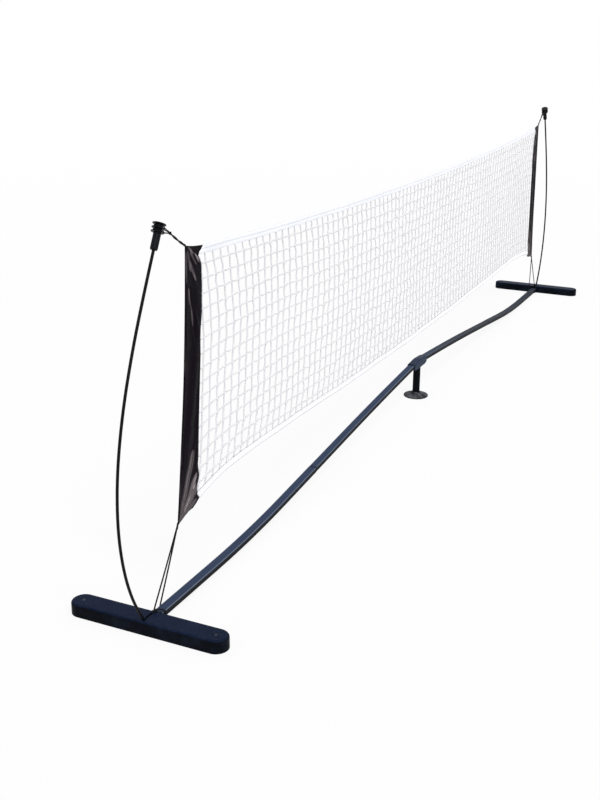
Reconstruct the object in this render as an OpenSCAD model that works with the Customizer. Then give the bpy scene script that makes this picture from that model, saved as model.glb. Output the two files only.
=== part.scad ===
// Portable pickleball net. An arched beam joins two feet, a bowed rod stands in each foot,
// and the rods keep a net stretched between them by its two sleeves.
// X runs along the net, Y across it and Z up. The origin is on the floor, below the middle
// of the net. Millimetres and degrees. The right side is drawn, and mirrored for the left.

/* [Feet] */
// Distance from the middle of the net to a foot's outer side
base_half = 1905; // [1800:1:2000]
// Length of a foot, across the net
foot_len = 426; // [320:1:560]
// Width of a foot
foot_w = 62; // [58:1:78]
// Height of a foot's top
foot_h = 34; // [33:0.5:44]
// Radius of a foot's top edge
foot_fillet = 7; // [5:0.5:9]
// Wall of the foot moulding
foot_wall = 3; // [2:0.1:4]
// Half length of the solid block round the two sockets
foot_core = 24; // [20:1:40]
// Distance from one rib to the next under a foot
rib_pitch = 42; // [25:1:60]
// Thickness of a rib
rib_t = 2.4; // [1.6:0.1:4]
// Width of the cord slot in a foot's top
slot_w = 7; // [5:0.5:9]
// Depth of the cord slot
slot_depth = 6; // [4:0.5:7]
// Length of the collar that the beam passes through
collar_len = 7; // [3:0.5:12]
// Wall of that collar
collar_wall = 4; // [2.5:0.5:5]
// Diameter of the rubber grip under a foot's end
grip_d = 46; // [30:1:50]
// Thickness of a grip
grip_t = 5; // [4:0.5:8]
// How far a grip stands out below the moulding
grip_proud = 0.8; // [0.4:0.1:1.5]
// Diameter of a grip's screw
screw_d = 4; // [3:0.5:5]
// Diameter of the screw's head
screw_head_d = 8.4; // [7:0.2:10]

/* [Beam] */
// Width of the inner beam tube
beam_w = 25; // [20:0.5:28]
// Height of the inner beam tube
beam_h = 16; // [14:0.5:18]
// Wall of the inner beam tube
beam_wall = 1.2; // [0.8:0.1:2]
// Radius of the beam's long edges
beam_edge = 3; // [2.2:0.1:4]
// How much the outer tube's wall is thicker
beam_step = 0.5; // [0.2:0.1:0.8]
// Gap between the floor and the beam at a foot
beam_floor = 7.5; // [6:0.5:9]
// Where the flat end of the beam starts to rise, from the middle
rise_start = 1560; // [1400:5:1700]
// Where the rise is straight
rise_end = 1160; // [1040:5:1250]
// Where the beam starts to flatten
crown_start = 700; // [500:5:820]
// Where the flattening ends
crown_end = 150; // [100:5:300]
// Slope of the straight rise
rise_angle = 5.5; // [4.5:0.1:6.5]
// Slope at the middle
crown_angle = 4.2; // [2:0.1:4.4]
// Distance from the middle to the joint between the two tubes
seam_x = 947; // [900:1:1000]
// Length of the plug inside that joint
spigot_len = 120; // [60:2:140]
// Wall of the plug
spigot_wall = 1.5; // [1:0.1:2.5]

/* [Centre] */
// Half length of the centre connector
connector_half = 65; // [50:1:90]
// Wall of the connector round the beam
connector_wall = 3; // [2:0.1:4]
// Depth of the connector below the beam
connector_drop = 12; // [9:0.5:18]
// Length of the slanted end under the connector
connector_chamfer = 18; // [8:1:30]
// Half length of the solid core between the beam's ends
connector_core = 20; // [17:0.5:28]
// Diameter of the leg
leg_d = 27; // [25:0.5:32]
// Wall of the leg
leg_wall = 1.5; // [1:0.1:2.5]
// Diameter of the pin on which the leg turns
pivot_d = 22; // [16:0.5:24]
// Length of that pin
pivot_len = 19; // [12:0.5:21]
// Diameter of the rubber pad under the leg
pad_d = 92; // [70:1:120]
// Thickness of the pad at its rim
pad_rim = 6; // [4:0.5:9]
// Height of the pad's dome at the leg
pad_dome = 14; // [11:0.5:20]
// Height of the ring round the leg
pad_ring = 18; // [15:0.5:28]

/* [Rods] */
// Diameter of a rod
rod_d = 7; // [6:0.5:8]
// Distance from a foot's outer side to the rod, at the foot's top
rod_inset = 13; // [12:0.5:15]
// Height of the rod's lower end above the floor
rod_floor = 6; // [5:0.5:9]
// Outward lean of a rod in its socket
rod_lean = 32.7; // [28:0.1:36]
// Length of the straight stretch above the socket
rod_straight = 12; // [5:1:40]
// Length of the bowed stretch
rod_bow = 893; // [800:1:960]
// How far the bow turns
rod_bend = 59.9; // [50:0.1:66]
// Length of a rod's cap
cap_len = 60; // [54:1:80]
// Diameter of the cap's stem
cap_d = 17.5; // [13:0.5:20]
// Diameter of its three flanges
flange_d = 31; // [26:0.5:38]
// Thickness of a flange
flange_t = 3; // [2:0.1:4]
// Solid end of a cap above its bore
cap_end = 14; // [10:1:18]
// Height of the grooves between the flanges
groove_h = 6; // [4.5:0.1:7]

/* [Net] */
// How far the net's top corners stand in from the outer sides of the feet
net_setback = 317; // [290:1:400]
// How much further out its bottom corners stand
net_flare = 42; // [20:1:60]
// Height of the top edge at its ends
net_top = 862; // [780:1:900]
// Sag of the top edge
net_sag = 34; // [0:1:80]
// Height of the bottom edge at the middle
net_bottom = 244; // [220:1:320]
// How much the bottom edge rises towards its ends
net_bottom_rise = 40; // [0:1:50]
// How much its corners are drawn down
net_corner_drop = 46; // [0:1:60]
// Gaps along the net
net_columns = 42; // [20:1:42]
// Gaps up the net
net_rows = 7; // [4:1:7]
// Width of a strand
strand_w = 3; // [1.5:0.1:5]
// Thickness of a strand
strand_t = 2; // [1:0.1:4]
// Height of the tapes along the top and the bottom
tape_h = 20; // [12:1:50]
// Thickness of a tape
tape_t = 2.6; // [1:0.1:4]

/* [Sleeves and ties] */
// Width of a sleeve at its top
sleeve_w_top = 74; // [50:1:90]
// Reach of the sleeve's lower tip past the net's corner
sleeve_w_tip = 101; // [80:1:120]
// Height of the outer top corner above the net's
sleeve_rise = 12; // [0:1:30]
// Height of the lower tip
sleeve_tip = 210; // [180:1:218]
// Depth of the notch in the top edge
sleeve_notch = 3; // [0:1:30]
// Number of folds
sleeve_folds = 3; // [1:1:4]
// Depth of a fold
sleeve_fold = 4.5; // [0:0.1:6]
// Thickness of the cloth
sleeve_t = 2.4; // [1:0.1:4]
// Diameter of the tie cords
tie_d = 3; // [2:0.1:3.6]
// Diameter of the knot beside a cap
knot_d = 7; // [5:0.5:9]
// How far the knot is from the cap's axis
knot_reach = 43; // [30:1:60]

/* [Hidden] */
$fn = 48;
// Clearance of a fit, on each side
fit = 0.1;
running_fit = 0.05;
// Gap between soft pieces and what they meet
soft_gap = 0.3;
// Joints between the stretches of a bent bar
joint_gap = 0.1;
joint_band = 1;
joint_step = 0.05;

outer_w = beam_w + 2 * beam_step;
outer_h = beam_h + 2 * beam_step;
bore_w = beam_w - 2 * beam_wall;
bore_h = beam_h - 2 * beam_wall;
bore_edge = beam_edge - beam_wall;

// Feet
foot_x = base_half - foot_w / 2;
foot_inner = base_half - foot_w;
end_y = foot_len / 2 - foot_w / 2;
boss_d = screw_d + 8;
head_h = 2.4;
head_gap = 0.3;
rib_count = floor((end_y - grip_d / 2 - rib_t - foot_core) / rib_pitch);

// Rod socket
rod_x = base_half - rod_inset;
peg_len = (foot_h - rod_floor) / cos(rod_lean);
socket_wall = 4;

// Beam line: height of its centre, then its bends
beam_z = beam_floor + outer_h / 2;
function socket_x(z) = rod_x - (foot_h - z) * tan(rod_lean) - rod_d / 2 / cos(rod_lean);
beam_end = socket_x(beam_floor) - socket_wall;
rise_r = (rise_start - rise_end) / sin(rise_angle);
rise_z = beam_z + rise_r * (1 - cos(rise_angle));
crown_r = (crown_start - crown_end) / (sin(rise_angle) - sin(crown_angle));
crown_z = rise_z + (rise_end - crown_start) * tan(rise_angle);
apex_z = crown_z + crown_r * (cos(crown_angle) - cos(rise_angle)) + crown_end * tan(crown_angle);
seam_z = rise_z + (rise_end - seam_x) * tan(rise_angle);

// Connector and leg
connector_w = beam_w + 2 * connector_wall;
connector_bottom = apex_z - beam_h / 2 - connector_drop;
leg_top = connector_bottom - 2 * fit;
plug_collar = 2;
plug_len = 24;
pad_floor = 5;
pad_recess = 2;

// The bow: arcs of one length whose bend falls off evenly towards the tip
bow_arcs = 6;
arc_len = rod_bow / bow_arcs;
function arc_turn(i) = rod_bend * (2 * (bow_arcs - i) - 1) / pow(bow_arcs, 2);
function arc_radius(length, turn) = length * 180 / PI / turn;
function arc_step(b, c) = arc_len * 180 / PI / (b - c) * [cos(c) - cos(b), sin(b) - sin(c)];
bow_headings = [for (i = 0, b = rod_lean; i <= bow_arcs; b = b - arc_turn(i), i = i + 1) b];
bow_steps = [for (i = [0 : bow_arcs - 1]) arc_step(bow_headings[i], bow_headings[i + 1])];
ones = [for (i = bow_steps) 1];
cap_lean = bow_headings[bow_arcs];
cap_foot = [rod_x, foot_h] + rod_straight * [sin(rod_lean), cos(rod_lean)] + ones * bow_steps;
cap_axis = [sin(cap_lean), 0, cos(cap_lean)];
cap_side = [-cos(cap_lean), 0, sin(cap_lean)];
cap_bore = cap_len - cap_end;
flange_pitch = flange_t + groove_h;

// Net: u runs from -1 to 1 along it, t from 0 at its bottom edge to 1 at its top
net_half_top = base_half - net_setback;
net_half_bottom = net_half_top + net_flare;
function ease(t) = t * t * (3 - 2 * t);
function net_half(t) = net_half_bottom - (net_half_bottom - net_half_top) * ease(t);
function top_z(u) = net_top - net_sag * (1 - u * u);
function bottom_z(u) = net_bottom + net_bottom_rise * u * u - net_corner_drop * pow(abs(u), 10);
function net_pt(u, t) = [u * net_half(t), bottom_z(u) + t * (top_z(u) - bottom_z(u))];
function tape_share(u) = tape_h / (top_z(u) - bottom_z(u));
function column(i) = 2 * i / net_columns - 1;
function mesh_pt(i, j) = net_pt(column(i),
    tape_share(column(i)) + (1 - 2 * tape_share(column(i))) * j / net_rows);

// Sleeve: u from the net to the outer edge, row j from the top to the tip. Its inner edge
// has a point at the net's corners, at each row of the net and halfway between two rows.
sleeve_rows = 2 * net_rows + 2;
function net_edge(k) = (mesh_pt(net_columns, floor(k)) + mesh_pt(net_columns, ceil(k))) / 2;
function sleeve_in(j) = j == 0 ? net_pt(1, 1) : j == sleeve_rows ? net_pt(1, 0)
    : net_edge(net_rows - (j - 1) / 2);
function depth(j) = (sleeve_in(0)[1] - sleeve_in(j)[1]) / (sleeve_in(0)[1] - net_pt(1, 0)[1]);
sleeve_top_x = net_half_top + sleeve_w_top;
sleeve_top_z = net_top + sleeve_rise;
tip_x = net_half_bottom + sleeve_w_tip;
edge_bow = 0.35;
function edge_share(v) = (1 - v) * (1 + edge_bow * v);
function sleeve_out(v) = [tip_x - (tip_x - sleeve_top_x) * edge_share(v),
    sleeve_top_z + (sleeve_tip - sleeve_top_z) * v];
notch_at = 0.3;
function notch(u) = u < notch_at ? u / notch_at : (1 - u) / (1 - notch_at);
function fold_y(u, v) = sleeve_fold * (0.35 + 0.65 * v)
    * sin(360 * sleeve_folds * pow(u, 1 + 1.5 * v));
function sleeve_pt(u, j) = let (v = depth(j),
    p = (1 - u) * (sleeve_in(j) + [soft_gap, 0]) + u * sleeve_out(v))
      [p[0], fold_y(u, v), p[1] - sleeve_notch * notch(u) * pow(1 - v, 20)];

// Ties
tie_r = tie_d / 2;
turn_step = 18;
groove_turn = (cap_d / 2 + tie_r + 2 * fit) / cos(turn_step / 2);
function cap_pt(h) = [cap_foot[0], 0, cap_foot[1]] + h * cap_axis;
function groove_at(k) = cap_len - flange_t - groove_h / 2 - k * flange_pitch;
knot_pt = cap_pt(groove_at(0)) + knot_reach * cap_side;
corner_pt = [sleeve_top_x, 0, sleeve_top_z];
tip_pt = [tip_x, 0, sleeve_tip];
function leave(from, to) = from + soft_gap * unit(to - from);

// ---- Shapes that several pieces share ----

// Draws the right side's piece, or its mirror image
module on_side(s) {
  if (s > 0) children();
  else mirror([1, 0, 0]) children();
}

// Rectangle with round corners: a up, b across
module round_rect(a, b, r) {
  square([a - 2 * r, b], center = true);
  square([a, b - 2 * r], center = true);
  for (i = [-1, 1], j = [-1, 1])
    translate([i * (a / 2 - r), j * (b / 2 - r)]) circle(r, $fn = 24);
}

// Section of a beam tube, with its wall grown by more on both sides
module tube_section(step, more = 0) {
  outer = 2 * (step + more);
  difference() {
    round_rect(beam_h + outer, beam_w + outer, beam_edge + step + more);
    round_rect(bore_h - 2 * more, bore_w - 2 * more, bore_edge - more);
  }
}

// Stands children's Z along the beam, towards the middle, at slope a
module along_beam(x, z, a) {
  translate([x, 0, z]) rotate([0, a - 90, 0]) children();
}

// Section, the first child, carried up Z through straight and bent lengths, each tangent to
// the one before. A stretch is [length, turn]: it bends towards -X by turn degrees, or
// towards +X where turn is negative. The second child, a hair larger, bridges the joints.
module bar(stretches, i = 0) {
  length = stretches[i][0];
  turn = stretches[i][1];
  side = sign(turn);
  r = turn == 0 ? 0 : arc_radius(length, abs(turn));
  low = i > 0 ? joint_gap : 0;
  high = i < len(stretches) - 1 ? joint_gap : 0;
  bent = abs(turn) * (length - low - high) / length;
  if (turn == 0) translate([0, 0, low]) linear_extrude(length - low - high) children(0);
  else mirror([side < 0 ? 1 : 0, 0, 0]) translate([-r, 0, 0]) rotate([90, 0, 0])
    rotate([0, 0, abs(turn) * low / length])
      rotate_extrude(angle = bent, $fn = ceil(8 * 360 / bent)) translate([r, 0]) children(0);
  if (i > 0) translate([0, 0, -joint_band / 2]) linear_extrude(joint_band) children(1);
  if (i < len(stretches) - 1)
    translate(turn == 0 ? [0, 0, length] : [-side * r * (1 - cos(turn)), 0, side * r * sin(turn)])
      rotate([0, -turn, 0]) bar(stretches, i + 1) {
        children(0);
        children(1);
      }
}

// Round tube of given radii along points, closed at both ends
function unit(v) = v / norm(v);
function across(v, t) = unit(v - (v * t) * t);
function tangent(p, i) = unit(p[min(i + 1, len(p) - 1)] - p[max(i - 1, 0)]);
function sides_of(p) = [for (i = 0, u = across([0.2, 1, 0.4], tangent(p, 0)); i < len(p);
    i = i + 1, u = across(u, tangent(p, min(i, len(p) - 1)))) u];
module cord(p, radii, sides = 8) {
  side = sides_of(p);
  n = len(p);
  rings = [for (i = [0 : n - 1], k = [0 : sides - 1])
    let (t = tangent(p, i), w = cross(t, side[i]), a = 360 * k / sides)
      p[i] + radii[i] * (cos(a) * side[i] + sin(a) * w)];
  walls = [for (i = [0 : n - 2], k = [0 : sides - 1])
    let (a = i * sides + k, b = i * sides + (k + 1) % sides)
      each [[a, a + sides, b], [b, a + sides, b + sides]]];
  caps = [for (k = [1 : sides - 2])
    each [[0, k, k + 1], [(n - 1) * sides, (n - 1) * sides + k + 1, (n - 1) * sides + k]]];
  polyhedron(rings, concat(walls, caps));
}

// ---- Beam ----

module inner_beam() {
  color([0.17, 0.20, 0.26])
    along_beam(seam_x - fit, seam_z + fit * tan(rise_angle), rise_angle)
      bar([[(seam_x - fit - crown_start) / cos(rise_angle), 0],
        [crown_r * (rise_angle - crown_angle) * PI / 180, rise_angle - crown_angle],
        [(crown_end - connector_core - fit) / cos(crown_angle), 0]]) {
          tube_section(0);
          tube_section(0, joint_step);
        }
}

module outer_beam() {
  color([0.17, 0.20, 0.26])
    along_beam(beam_end, beam_z, 0)
      bar([[beam_end - rise_start, 0], [rise_r * rise_angle * PI / 180, -rise_angle],
        [(rise_end - seam_x) / cos(rise_angle), 0]]) {
          tube_section(beam_step);
          tube_section(beam_step, joint_step);
        }
}

module beam_spigot() {
  a = bore_h - 2 * fit;
  b = bore_w - 2 * fit;
  color([0.62, 0.63, 0.65])
    along_beam(seam_x, seam_z, rise_angle) linear_extrude(spigot_len, center = true)
      difference() {
        round_rect(a, b, bore_edge);
        square([a - 2 * spigot_wall, b - 2 * spigot_wall], center = true);
      }
}

// ---- Centre connector, leg and pad ----

module connector_half_form() {
  lift = (beam_h / 2 + connector_wall) / cos(crown_angle);
  mouth_z = apex_z - connector_half * tan(crown_angle);
  edge = 6;
  over = 10;
  deep = 2 * beam_h + connector_drop;
  top = beam_h / 2 + connector_wall;
  intersection() {
    rotate([90, 0, 0]) linear_extrude(connector_w, center = true)
      polygon([[0, apex_z + lift], [connector_half, mouth_z + lift],
        [connector_half, mouth_z - lift],
        [connector_half - connector_chamfer, connector_bottom], [0, connector_bottom]]);
    along_beam(connector_half + over, apex_z - (connector_half + over) * tan(crown_angle),
      crown_angle)
      linear_extrude(connector_half + 4 * over) {
        translate([top - edge - deep, -connector_w / 2]) square([deep, connector_w]);
        translate([top - deep, edge - connector_w / 2]) square([deep, connector_w - 2 * edge]);
        for (s = [-1, 1])
          translate([top - edge, s * (connector_w / 2 - edge)]) circle(edge);
      }
  }
}

module centre_connector() {
  core_z = apex_z - connector_core * tan(crown_angle);
  color([0.10, 0.11, 0.13])
    difference() {
      for (s = [-1, 1]) on_side(s) connector_half_form();
      for (s = [-1, 1]) on_side(s)
        along_beam(connector_core, core_z, crown_angle) mirror([0, 0, 1])
          linear_extrude(2 * connector_half)
            round_rect(beam_h + 2 * fit, beam_w + 2 * fit, beam_edge + fit);
      translate([0, 0, connector_bottom - 1])
        cylinder(d = pivot_d + 2 * running_fit, h = pivot_len + 1 + soft_gap);
    }
}

module leg_tube() {
  color([0.12, 0.13, 0.15])
    translate([0, 0, pad_floor]) difference() {
      h = leg_top - plug_collar - pad_floor;
      cylinder(d = leg_d, h = h);
      translate([0, 0, -1]) cylinder(d = leg_d - 2 * leg_wall, h = h + 2);
    }
}

module leg_plug() {
  color([0.08, 0.08, 0.09]) {
    translate([0, 0, leg_top - plug_len]) cylinder(d = pivot_d, h = plug_len + pivot_len);
    translate([0, 0, leg_top - plug_len])
      cylinder(d = leg_d - 2 * leg_wall - 2 * fit, h = plug_len);
    translate([0, 0, leg_top - plug_collar]) cylinder(d = leg_d, h = plug_collar);
  }
}

module foot_pad() {
  r = pad_d / 2;
  ring_r = leg_d / 2 + 4.5;
  lip = 1.5;
  tread_w = 14;
  tread_slope = 2;
  color([0.16, 0.16, 0.17])
    difference() {
      rotate_extrude($fn = 96) {
        polygon([[0, pad_recess], [r - tread_w - tread_slope, pad_recess], [r - tread_w, 0],
          [r - lip, 0], [r, lip],
          [r, pad_rim - lip], [r - lip, pad_rim], [ring_r + 6, pad_dome - 2],
          [ring_r, pad_dome], [ring_r, pad_ring - lip], [ring_r - lip, pad_ring], [0, pad_ring]]);
      }
      translate([0, 0, pad_floor]) cylinder(d = leg_d + 2 * fit, h = pad_ring);
    }
}

// ---- Feet ----

module foot_half_section(half, top, r) {
  square([half, top - r]);
  square([half - r, top]);
  translate([half - r, top - r]) circle(r);
}

// Bar with half-round ends and a rounded top edge, standing on Z = 0
module foot_form(half, top, r) {
  for (s = [0, 180]) rotate([0, 0, s]) translate([0, end_y, 0])
    rotate_extrude(angle = 180) foot_half_section(half, top, r);
  rotate([90, 0, 0]) linear_extrude(2 * end_y, center = true) {
    foot_half_section(half, top, r);
    mirror([1, 0]) foot_half_section(half, top, r);
  }
}

module foot_cavity() {
  difference() {
    translate([0, 0, -1])
      foot_form(foot_w / 2 - foot_wall, foot_h - foot_wall + 1, foot_fillet - foot_wall);
    cube([foot_w, 2 * foot_core, 3 * foot_h], center = true);
    for (s = [-1, 1]) {
      for (i = [1 : rib_count]) translate([0, s * (foot_core + i * rib_pitch), 0])
        cube([foot_w, rib_t, 3 * foot_h], center = true);
      translate([-rib_t / 2, min(s, 0) * (foot_core + rib_count * rib_pitch), -foot_h])
        cube([rib_t, foot_core + rib_count * rib_pitch, 3 * foot_h]);
      translate([0, s * end_y, grip_t]) cylinder(d = boss_d, h = foot_h);
    }
  }
}

// Room for the beam's end, for the rod, for the cord and for the screws
module foot_cuts() {
  along_beam(beam_end + soft_gap, beam_z, 0) linear_extrude(foot_w + collar_len)
    round_rect(outer_h + 2 * fit, outer_w + 2 * fit, beam_edge + beam_step + fit);
  translate([rod_x, 0, foot_h]) rotate([0, rod_lean, 0])
    translate([0, 0, -peg_len - soft_gap])
      cylinder(d = rod_d + 2 * running_fit, h = peg_len + 10);
  translate([foot_inner - 1, -slot_w / 2, foot_h - slot_depth])
    cube([rod_x - foot_inner + 1 - slot_w / 2, slot_w, foot_h]);
  translate([rod_x - slot_w / 2, 0, foot_h - slot_depth]) cylinder(d = slot_w, h = foot_h);
  for (s = [-1, 1]) translate([foot_x, s * end_y, 0]) {
    cylinder(d = screw_d + fit, h = foot_h + 1);
    translate([0, 0, foot_h - head_h - head_gap]) cylinder(d = screw_head_d + 0.8, h = foot_h);
  }
}

module foot() {
  color([0.09, 0.11, 0.16])
    difference() {
      union() {
        translate([foot_x, 0, grip_proud]) foot_form(foot_w / 2, foot_h - grip_proud, foot_fillet);
        along_beam(foot_inner + foot_fillet, beam_z, 0) linear_extrude(foot_fillet + collar_len)
          round_rect(outer_h + 2 * collar_wall, outer_w + 2 * collar_wall, beam_edge + collar_wall);
      }
      translate([foot_x, 0, 0]) foot_cavity();
      foot_cuts();
    }
}

module foot_grips() {
  color([0.06, 0.06, 0.06])
    for (s = [-1, 1]) translate([foot_x, s * end_y, 0]) difference() {
      union() {
        cylinder(d1 = grip_d - 2, d2 = grip_d, h = 1);
        translate([0, 0, 1]) cylinder(d = grip_d, h = grip_t - 1);
      }
      translate([0, 0, grip_t / 2]) cylinder(d = screw_d + fit, h = grip_t);
    }
}

module foot_screws() {
  top = foot_h - head_gap;
  slot = screw_head_d * 0.6;
  color([0.30, 0.31, 0.33])
    for (s = [-1, 1]) translate([foot_x, s * end_y, 0]) difference() {
      union() {
        translate([0, 0, grip_t / 2 + fit]) cylinder(d = screw_d, h = top - grip_t / 2 - 1);
        translate([0, 0, top - head_h]) cylinder(d = screw_head_d, h = head_h - 0.6);
        translate([0, 0, top - 0.6]) cylinder(d1 = screw_head_d, d2 = screw_head_d - 1.2, h = 0.6);
      }
      for (a = [45, 135]) translate([0, 0, top]) rotate([0, 0, a])
        cube([slot, 1.2, 2.4], center = true);
    }
}

// ---- Rods ----

module rod() {
  color([0.05, 0.05, 0.06])
    translate([rod_x, 0, foot_h]) rotate([0, rod_lean, 0]) translate([0, 0, -peg_len])
      bar(concat([[peg_len + rod_straight, 0]],
        [for (i = [0 : bow_arcs - 1]) [arc_len, arc_turn(i)]], [[cap_bore - soft_gap, 0]])) {
          circle(d = rod_d, $fn = 24);
          circle(d = rod_d + 2 * joint_step, $fn = 24);
        }
}

module rod_cap() {
  r = cap_d / 2;
  chamfer = 1;
  color([0.04, 0.04, 0.05])
    translate(cap_pt(0)) rotate([0, cap_lean, 0]) difference() {
      union() {
        cylinder(r1 = r - chamfer, r2 = r, h = 3);
        translate([0, 0, 3]) cylinder(r = r, h = cap_len - 4);
        for (k = [0 : 2]) translate([0, 0, cap_len - flange_t - k * flange_pitch])
          rotate_extrude() {
            square([flange_d / 2 - flange_t / 2, flange_t]);
            translate([flange_d / 2 - flange_t / 2, flange_t / 2]) circle(d = flange_t, $fn = 24);
          }
      }
      translate([0, 0, -1]) cylinder(d = rod_d + 2 * running_fit, h = cap_bore + 1);
    }
}

// ---- Net ----

module upright(t) {
  rotate([90, 0, 0]) linear_extrude(t, center = true) children();
}

module net_mesh() {
  h = strand_w / 2;
  color([0.90, 0.91, 0.94])
    upright(strand_t) difference() {
      polygon(concat([for (i = [0 : net_columns]) mesh_pt(i, 0)],
        [for (j = [1 : net_rows - 1]) mesh_pt(net_columns, j)],
        [for (i = [net_columns : -1 : 0]) mesh_pt(i, net_rows)],
        [for (j = [net_rows - 1 : -1 : 1]) mesh_pt(0, j)]));
      for (i = [0 : net_columns - 1], j = [0 : net_rows - 1])
        polygon([mesh_pt(i, j) + [h, h], mesh_pt(i + 1, j) + [-h, h],
          mesh_pt(i + 1, j + 1) + [-h, -h], mesh_pt(i, j + 1) + [h, -h]]);
    }
}

// Tape between two levels of the net, each given for a column
module tape(low, high) {
  color([0.95, 0.96, 0.99]) upright(tape_t) polygon(concat(low, high));
}

module top_tape() {
  tape([for (i = [0 : net_columns]) mesh_pt(i, net_rows)],
    [for (i = [net_columns : -1 : 0]) net_pt(column(i), 1)]);
}

module bottom_tape() {
  tape([for (i = [0 : net_columns]) net_pt(column(i), 0)],
    [for (i = [net_columns : -1 : 0]) mesh_pt(i, 0)]);
}

// Cloth between the net and the rod, with folds that run together towards the tip
module sleeve() {
  nu = 4 * sleeve_folds;
  nv = sleeve_rows;
  across_y = [0, sleeve_t / 2, 0];
  middle = [for (i = [0 : nu], j = [0 : nv]) sleeve_pt(i / nu, j)];
  m = len(middle);
  function at(i, j) = i * (nv + 1) + j;
  sheets = [for (i = [0 : nu - 1], j = [0 : nv - 1])
    let (a = at(i, j), b = at(i + 1, j), c = at(i + 1, j + 1), d = at(i, j + 1))
      each [[a, c, b], [a, d, c], [m + a, m + b, m + c], [m + a, m + c, m + d]]];
  rim = concat([for (i = [0 : nu]) at(i, 0)], [for (j = [1 : nv]) at(nu, j)],
    [for (i = [nu - 1 : -1 : 0]) at(i, nv)], [for (j = [nv - 1 : -1 : 1]) at(0, j)]);
  edges = [for (k = [0 : len(rim) - 1])
    let (a = rim[k], b = rim[(k + 1) % len(rim)]) each [[a, b, m + b], [a, m + b, m + a]]];
  color([0.06, 0.06, 0.07])
    polyhedron(concat([for (p = middle) p + across_y], [for (p = middle) p - across_y]),
      concat(sheets, edges));
}

// ---- Ties ----

// From the sleeve's top corner to the knot beside the cap
module top_tie() {
  run = unit(knot_pt - corner_pt);
  k = knot_d / 2;
  color([0.07, 0.07, 0.08])
    cord([leave(corner_pt, knot_pt), knot_pt - 1.2 * k * run, knot_pt - 0.6 * k * run, knot_pt,
      knot_pt + 0.6 * k * run, knot_pt + k * run], [tie_r, tie_r, 0.8 * k, k, 0.8 * k, 0.3 * k]);
}

// One loop in each groove of the cap, both drawn to the knot
module tie_loops() {
  clear = flange_d / 2 + tie_r + 0.5;
  spread = tie_r + fit;
  color([0.07, 0.07, 0.08])
    for (k = [0, 1]) {
      c = cap_pt(groove_at(k));
      turn = [for (a = [90 : turn_step : 270]) c + groove_turn * (cos(a) * cap_side + [0, sin(a), 0])];
      off = [for (s = [1, -1]) c + clear * cap_side + [0, s * groove_turn * 0.6, 0]];
      meet = [for (s = [1, -1]) knot_pt - (knot_d / 2 + 1) * cap_side
        + [0, s * spread, 0] + (1 - 2 * k) * spread * cap_axis];
      p = concat([meet[0], off[0]], turn, [off[1], meet[1]]);
      cord(p, [for (i = p) tie_r]);
    }
}

// Two strands from the sleeve's tip: one into the foot's slot, one in a turn round the beam
module bottom_tie() {
  side_y = outer_w / 2 + tie_r + fit;
  under_z = beam_z - outer_h / 2 - tie_r - fit;
  over_z = beam_z + outer_h / 2 + tie_r + fit;
  slot_z = foot_h - slot_depth + tie_r + fit;
  rod_side = rod_x - slot_depth * tan(rod_lean) - rod_d / 2 / cos(rod_lean);
  turn_gap = 40;
  pitch = 4;
  turn_x = foot_inner - collar_len - turn_gap;
  slot_mouth = [foot_inner + 8, 0, foot_h + tie_r - 1];
  beam_top = [turn_x, side_y, over_z];
  front = [leave(tip_pt, slot_mouth), slot_mouth, [foot_inner + 14, 0, slot_z],
    [rod_side - tie_r - soft_gap, 0, slot_z]];
  back = [leave(tip_pt, beam_top), beam_top, [turn_x + pitch, side_y, beam_z],
    [turn_x + 2 * pitch, side_y, under_z], [turn_x + 3.5 * pitch, 0, under_z],
    [turn_x + 5 * pitch, -side_y, under_z], [turn_x + 6 * pitch, -side_y, beam_z],
    [turn_x + 7 * pitch, -side_y, over_z], [turn_x + 9.5 * pitch, pitch - side_y, foot_h - 2],
    [foot_inner + 5, -tie_d - 0.5, foot_h + tie_r]];
  color([0.07, 0.07, 0.08]) {
    cord(front, [for (i = front) tie_r]);
    cord(back, [for (i = back) tie_r]);
  }
}

centre_connector();
on_side(-1) inner_beam();  // left_inner_beam
on_side(1) inner_beam();  // right_inner_beam
on_side(-1) outer_beam();  // left_outer_beam
on_side(1) outer_beam();  // right_outer_beam
on_side(-1) beam_spigot();  // left_beam_spigot
on_side(1) beam_spigot();  // right_beam_spigot
net_mesh();
top_tape();
bottom_tape();
on_side(-1) sleeve();  // left_sleeve
on_side(1) sleeve();  // right_sleeve
on_side(-1) top_tie();  // left_top_tie
on_side(1) top_tie();  // right_top_tie
on_side(-1) bottom_tie();  // left_bottom_tie
on_side(1) bottom_tie();  // right_bottom_tie
leg_tube();
leg_plug();
foot_pad();
on_side(-1) foot();  // left_foot
on_side(1) foot();  // right_foot
on_side(-1) foot_grips();  // left_foot_grips
on_side(1) foot_grips();  // right_foot_grips
on_side(-1) foot_screws();  // left_foot_screws
on_side(1) foot_screws();  // right_foot_screws
on_side(-1) rod();  // left_rod
on_side(1) rod();  // right_rod
on_side(-1) rod_cap();  // left_rod_cap
on_side(1) rod_cap();  // right_rod_cap
on_side(-1) tie_loops();  // left_tie_loops
on_side(1) tie_loops();  // right_tie_loops
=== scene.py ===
import math

import bpy
import numpy as np
from mathutils import Matrix


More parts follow.
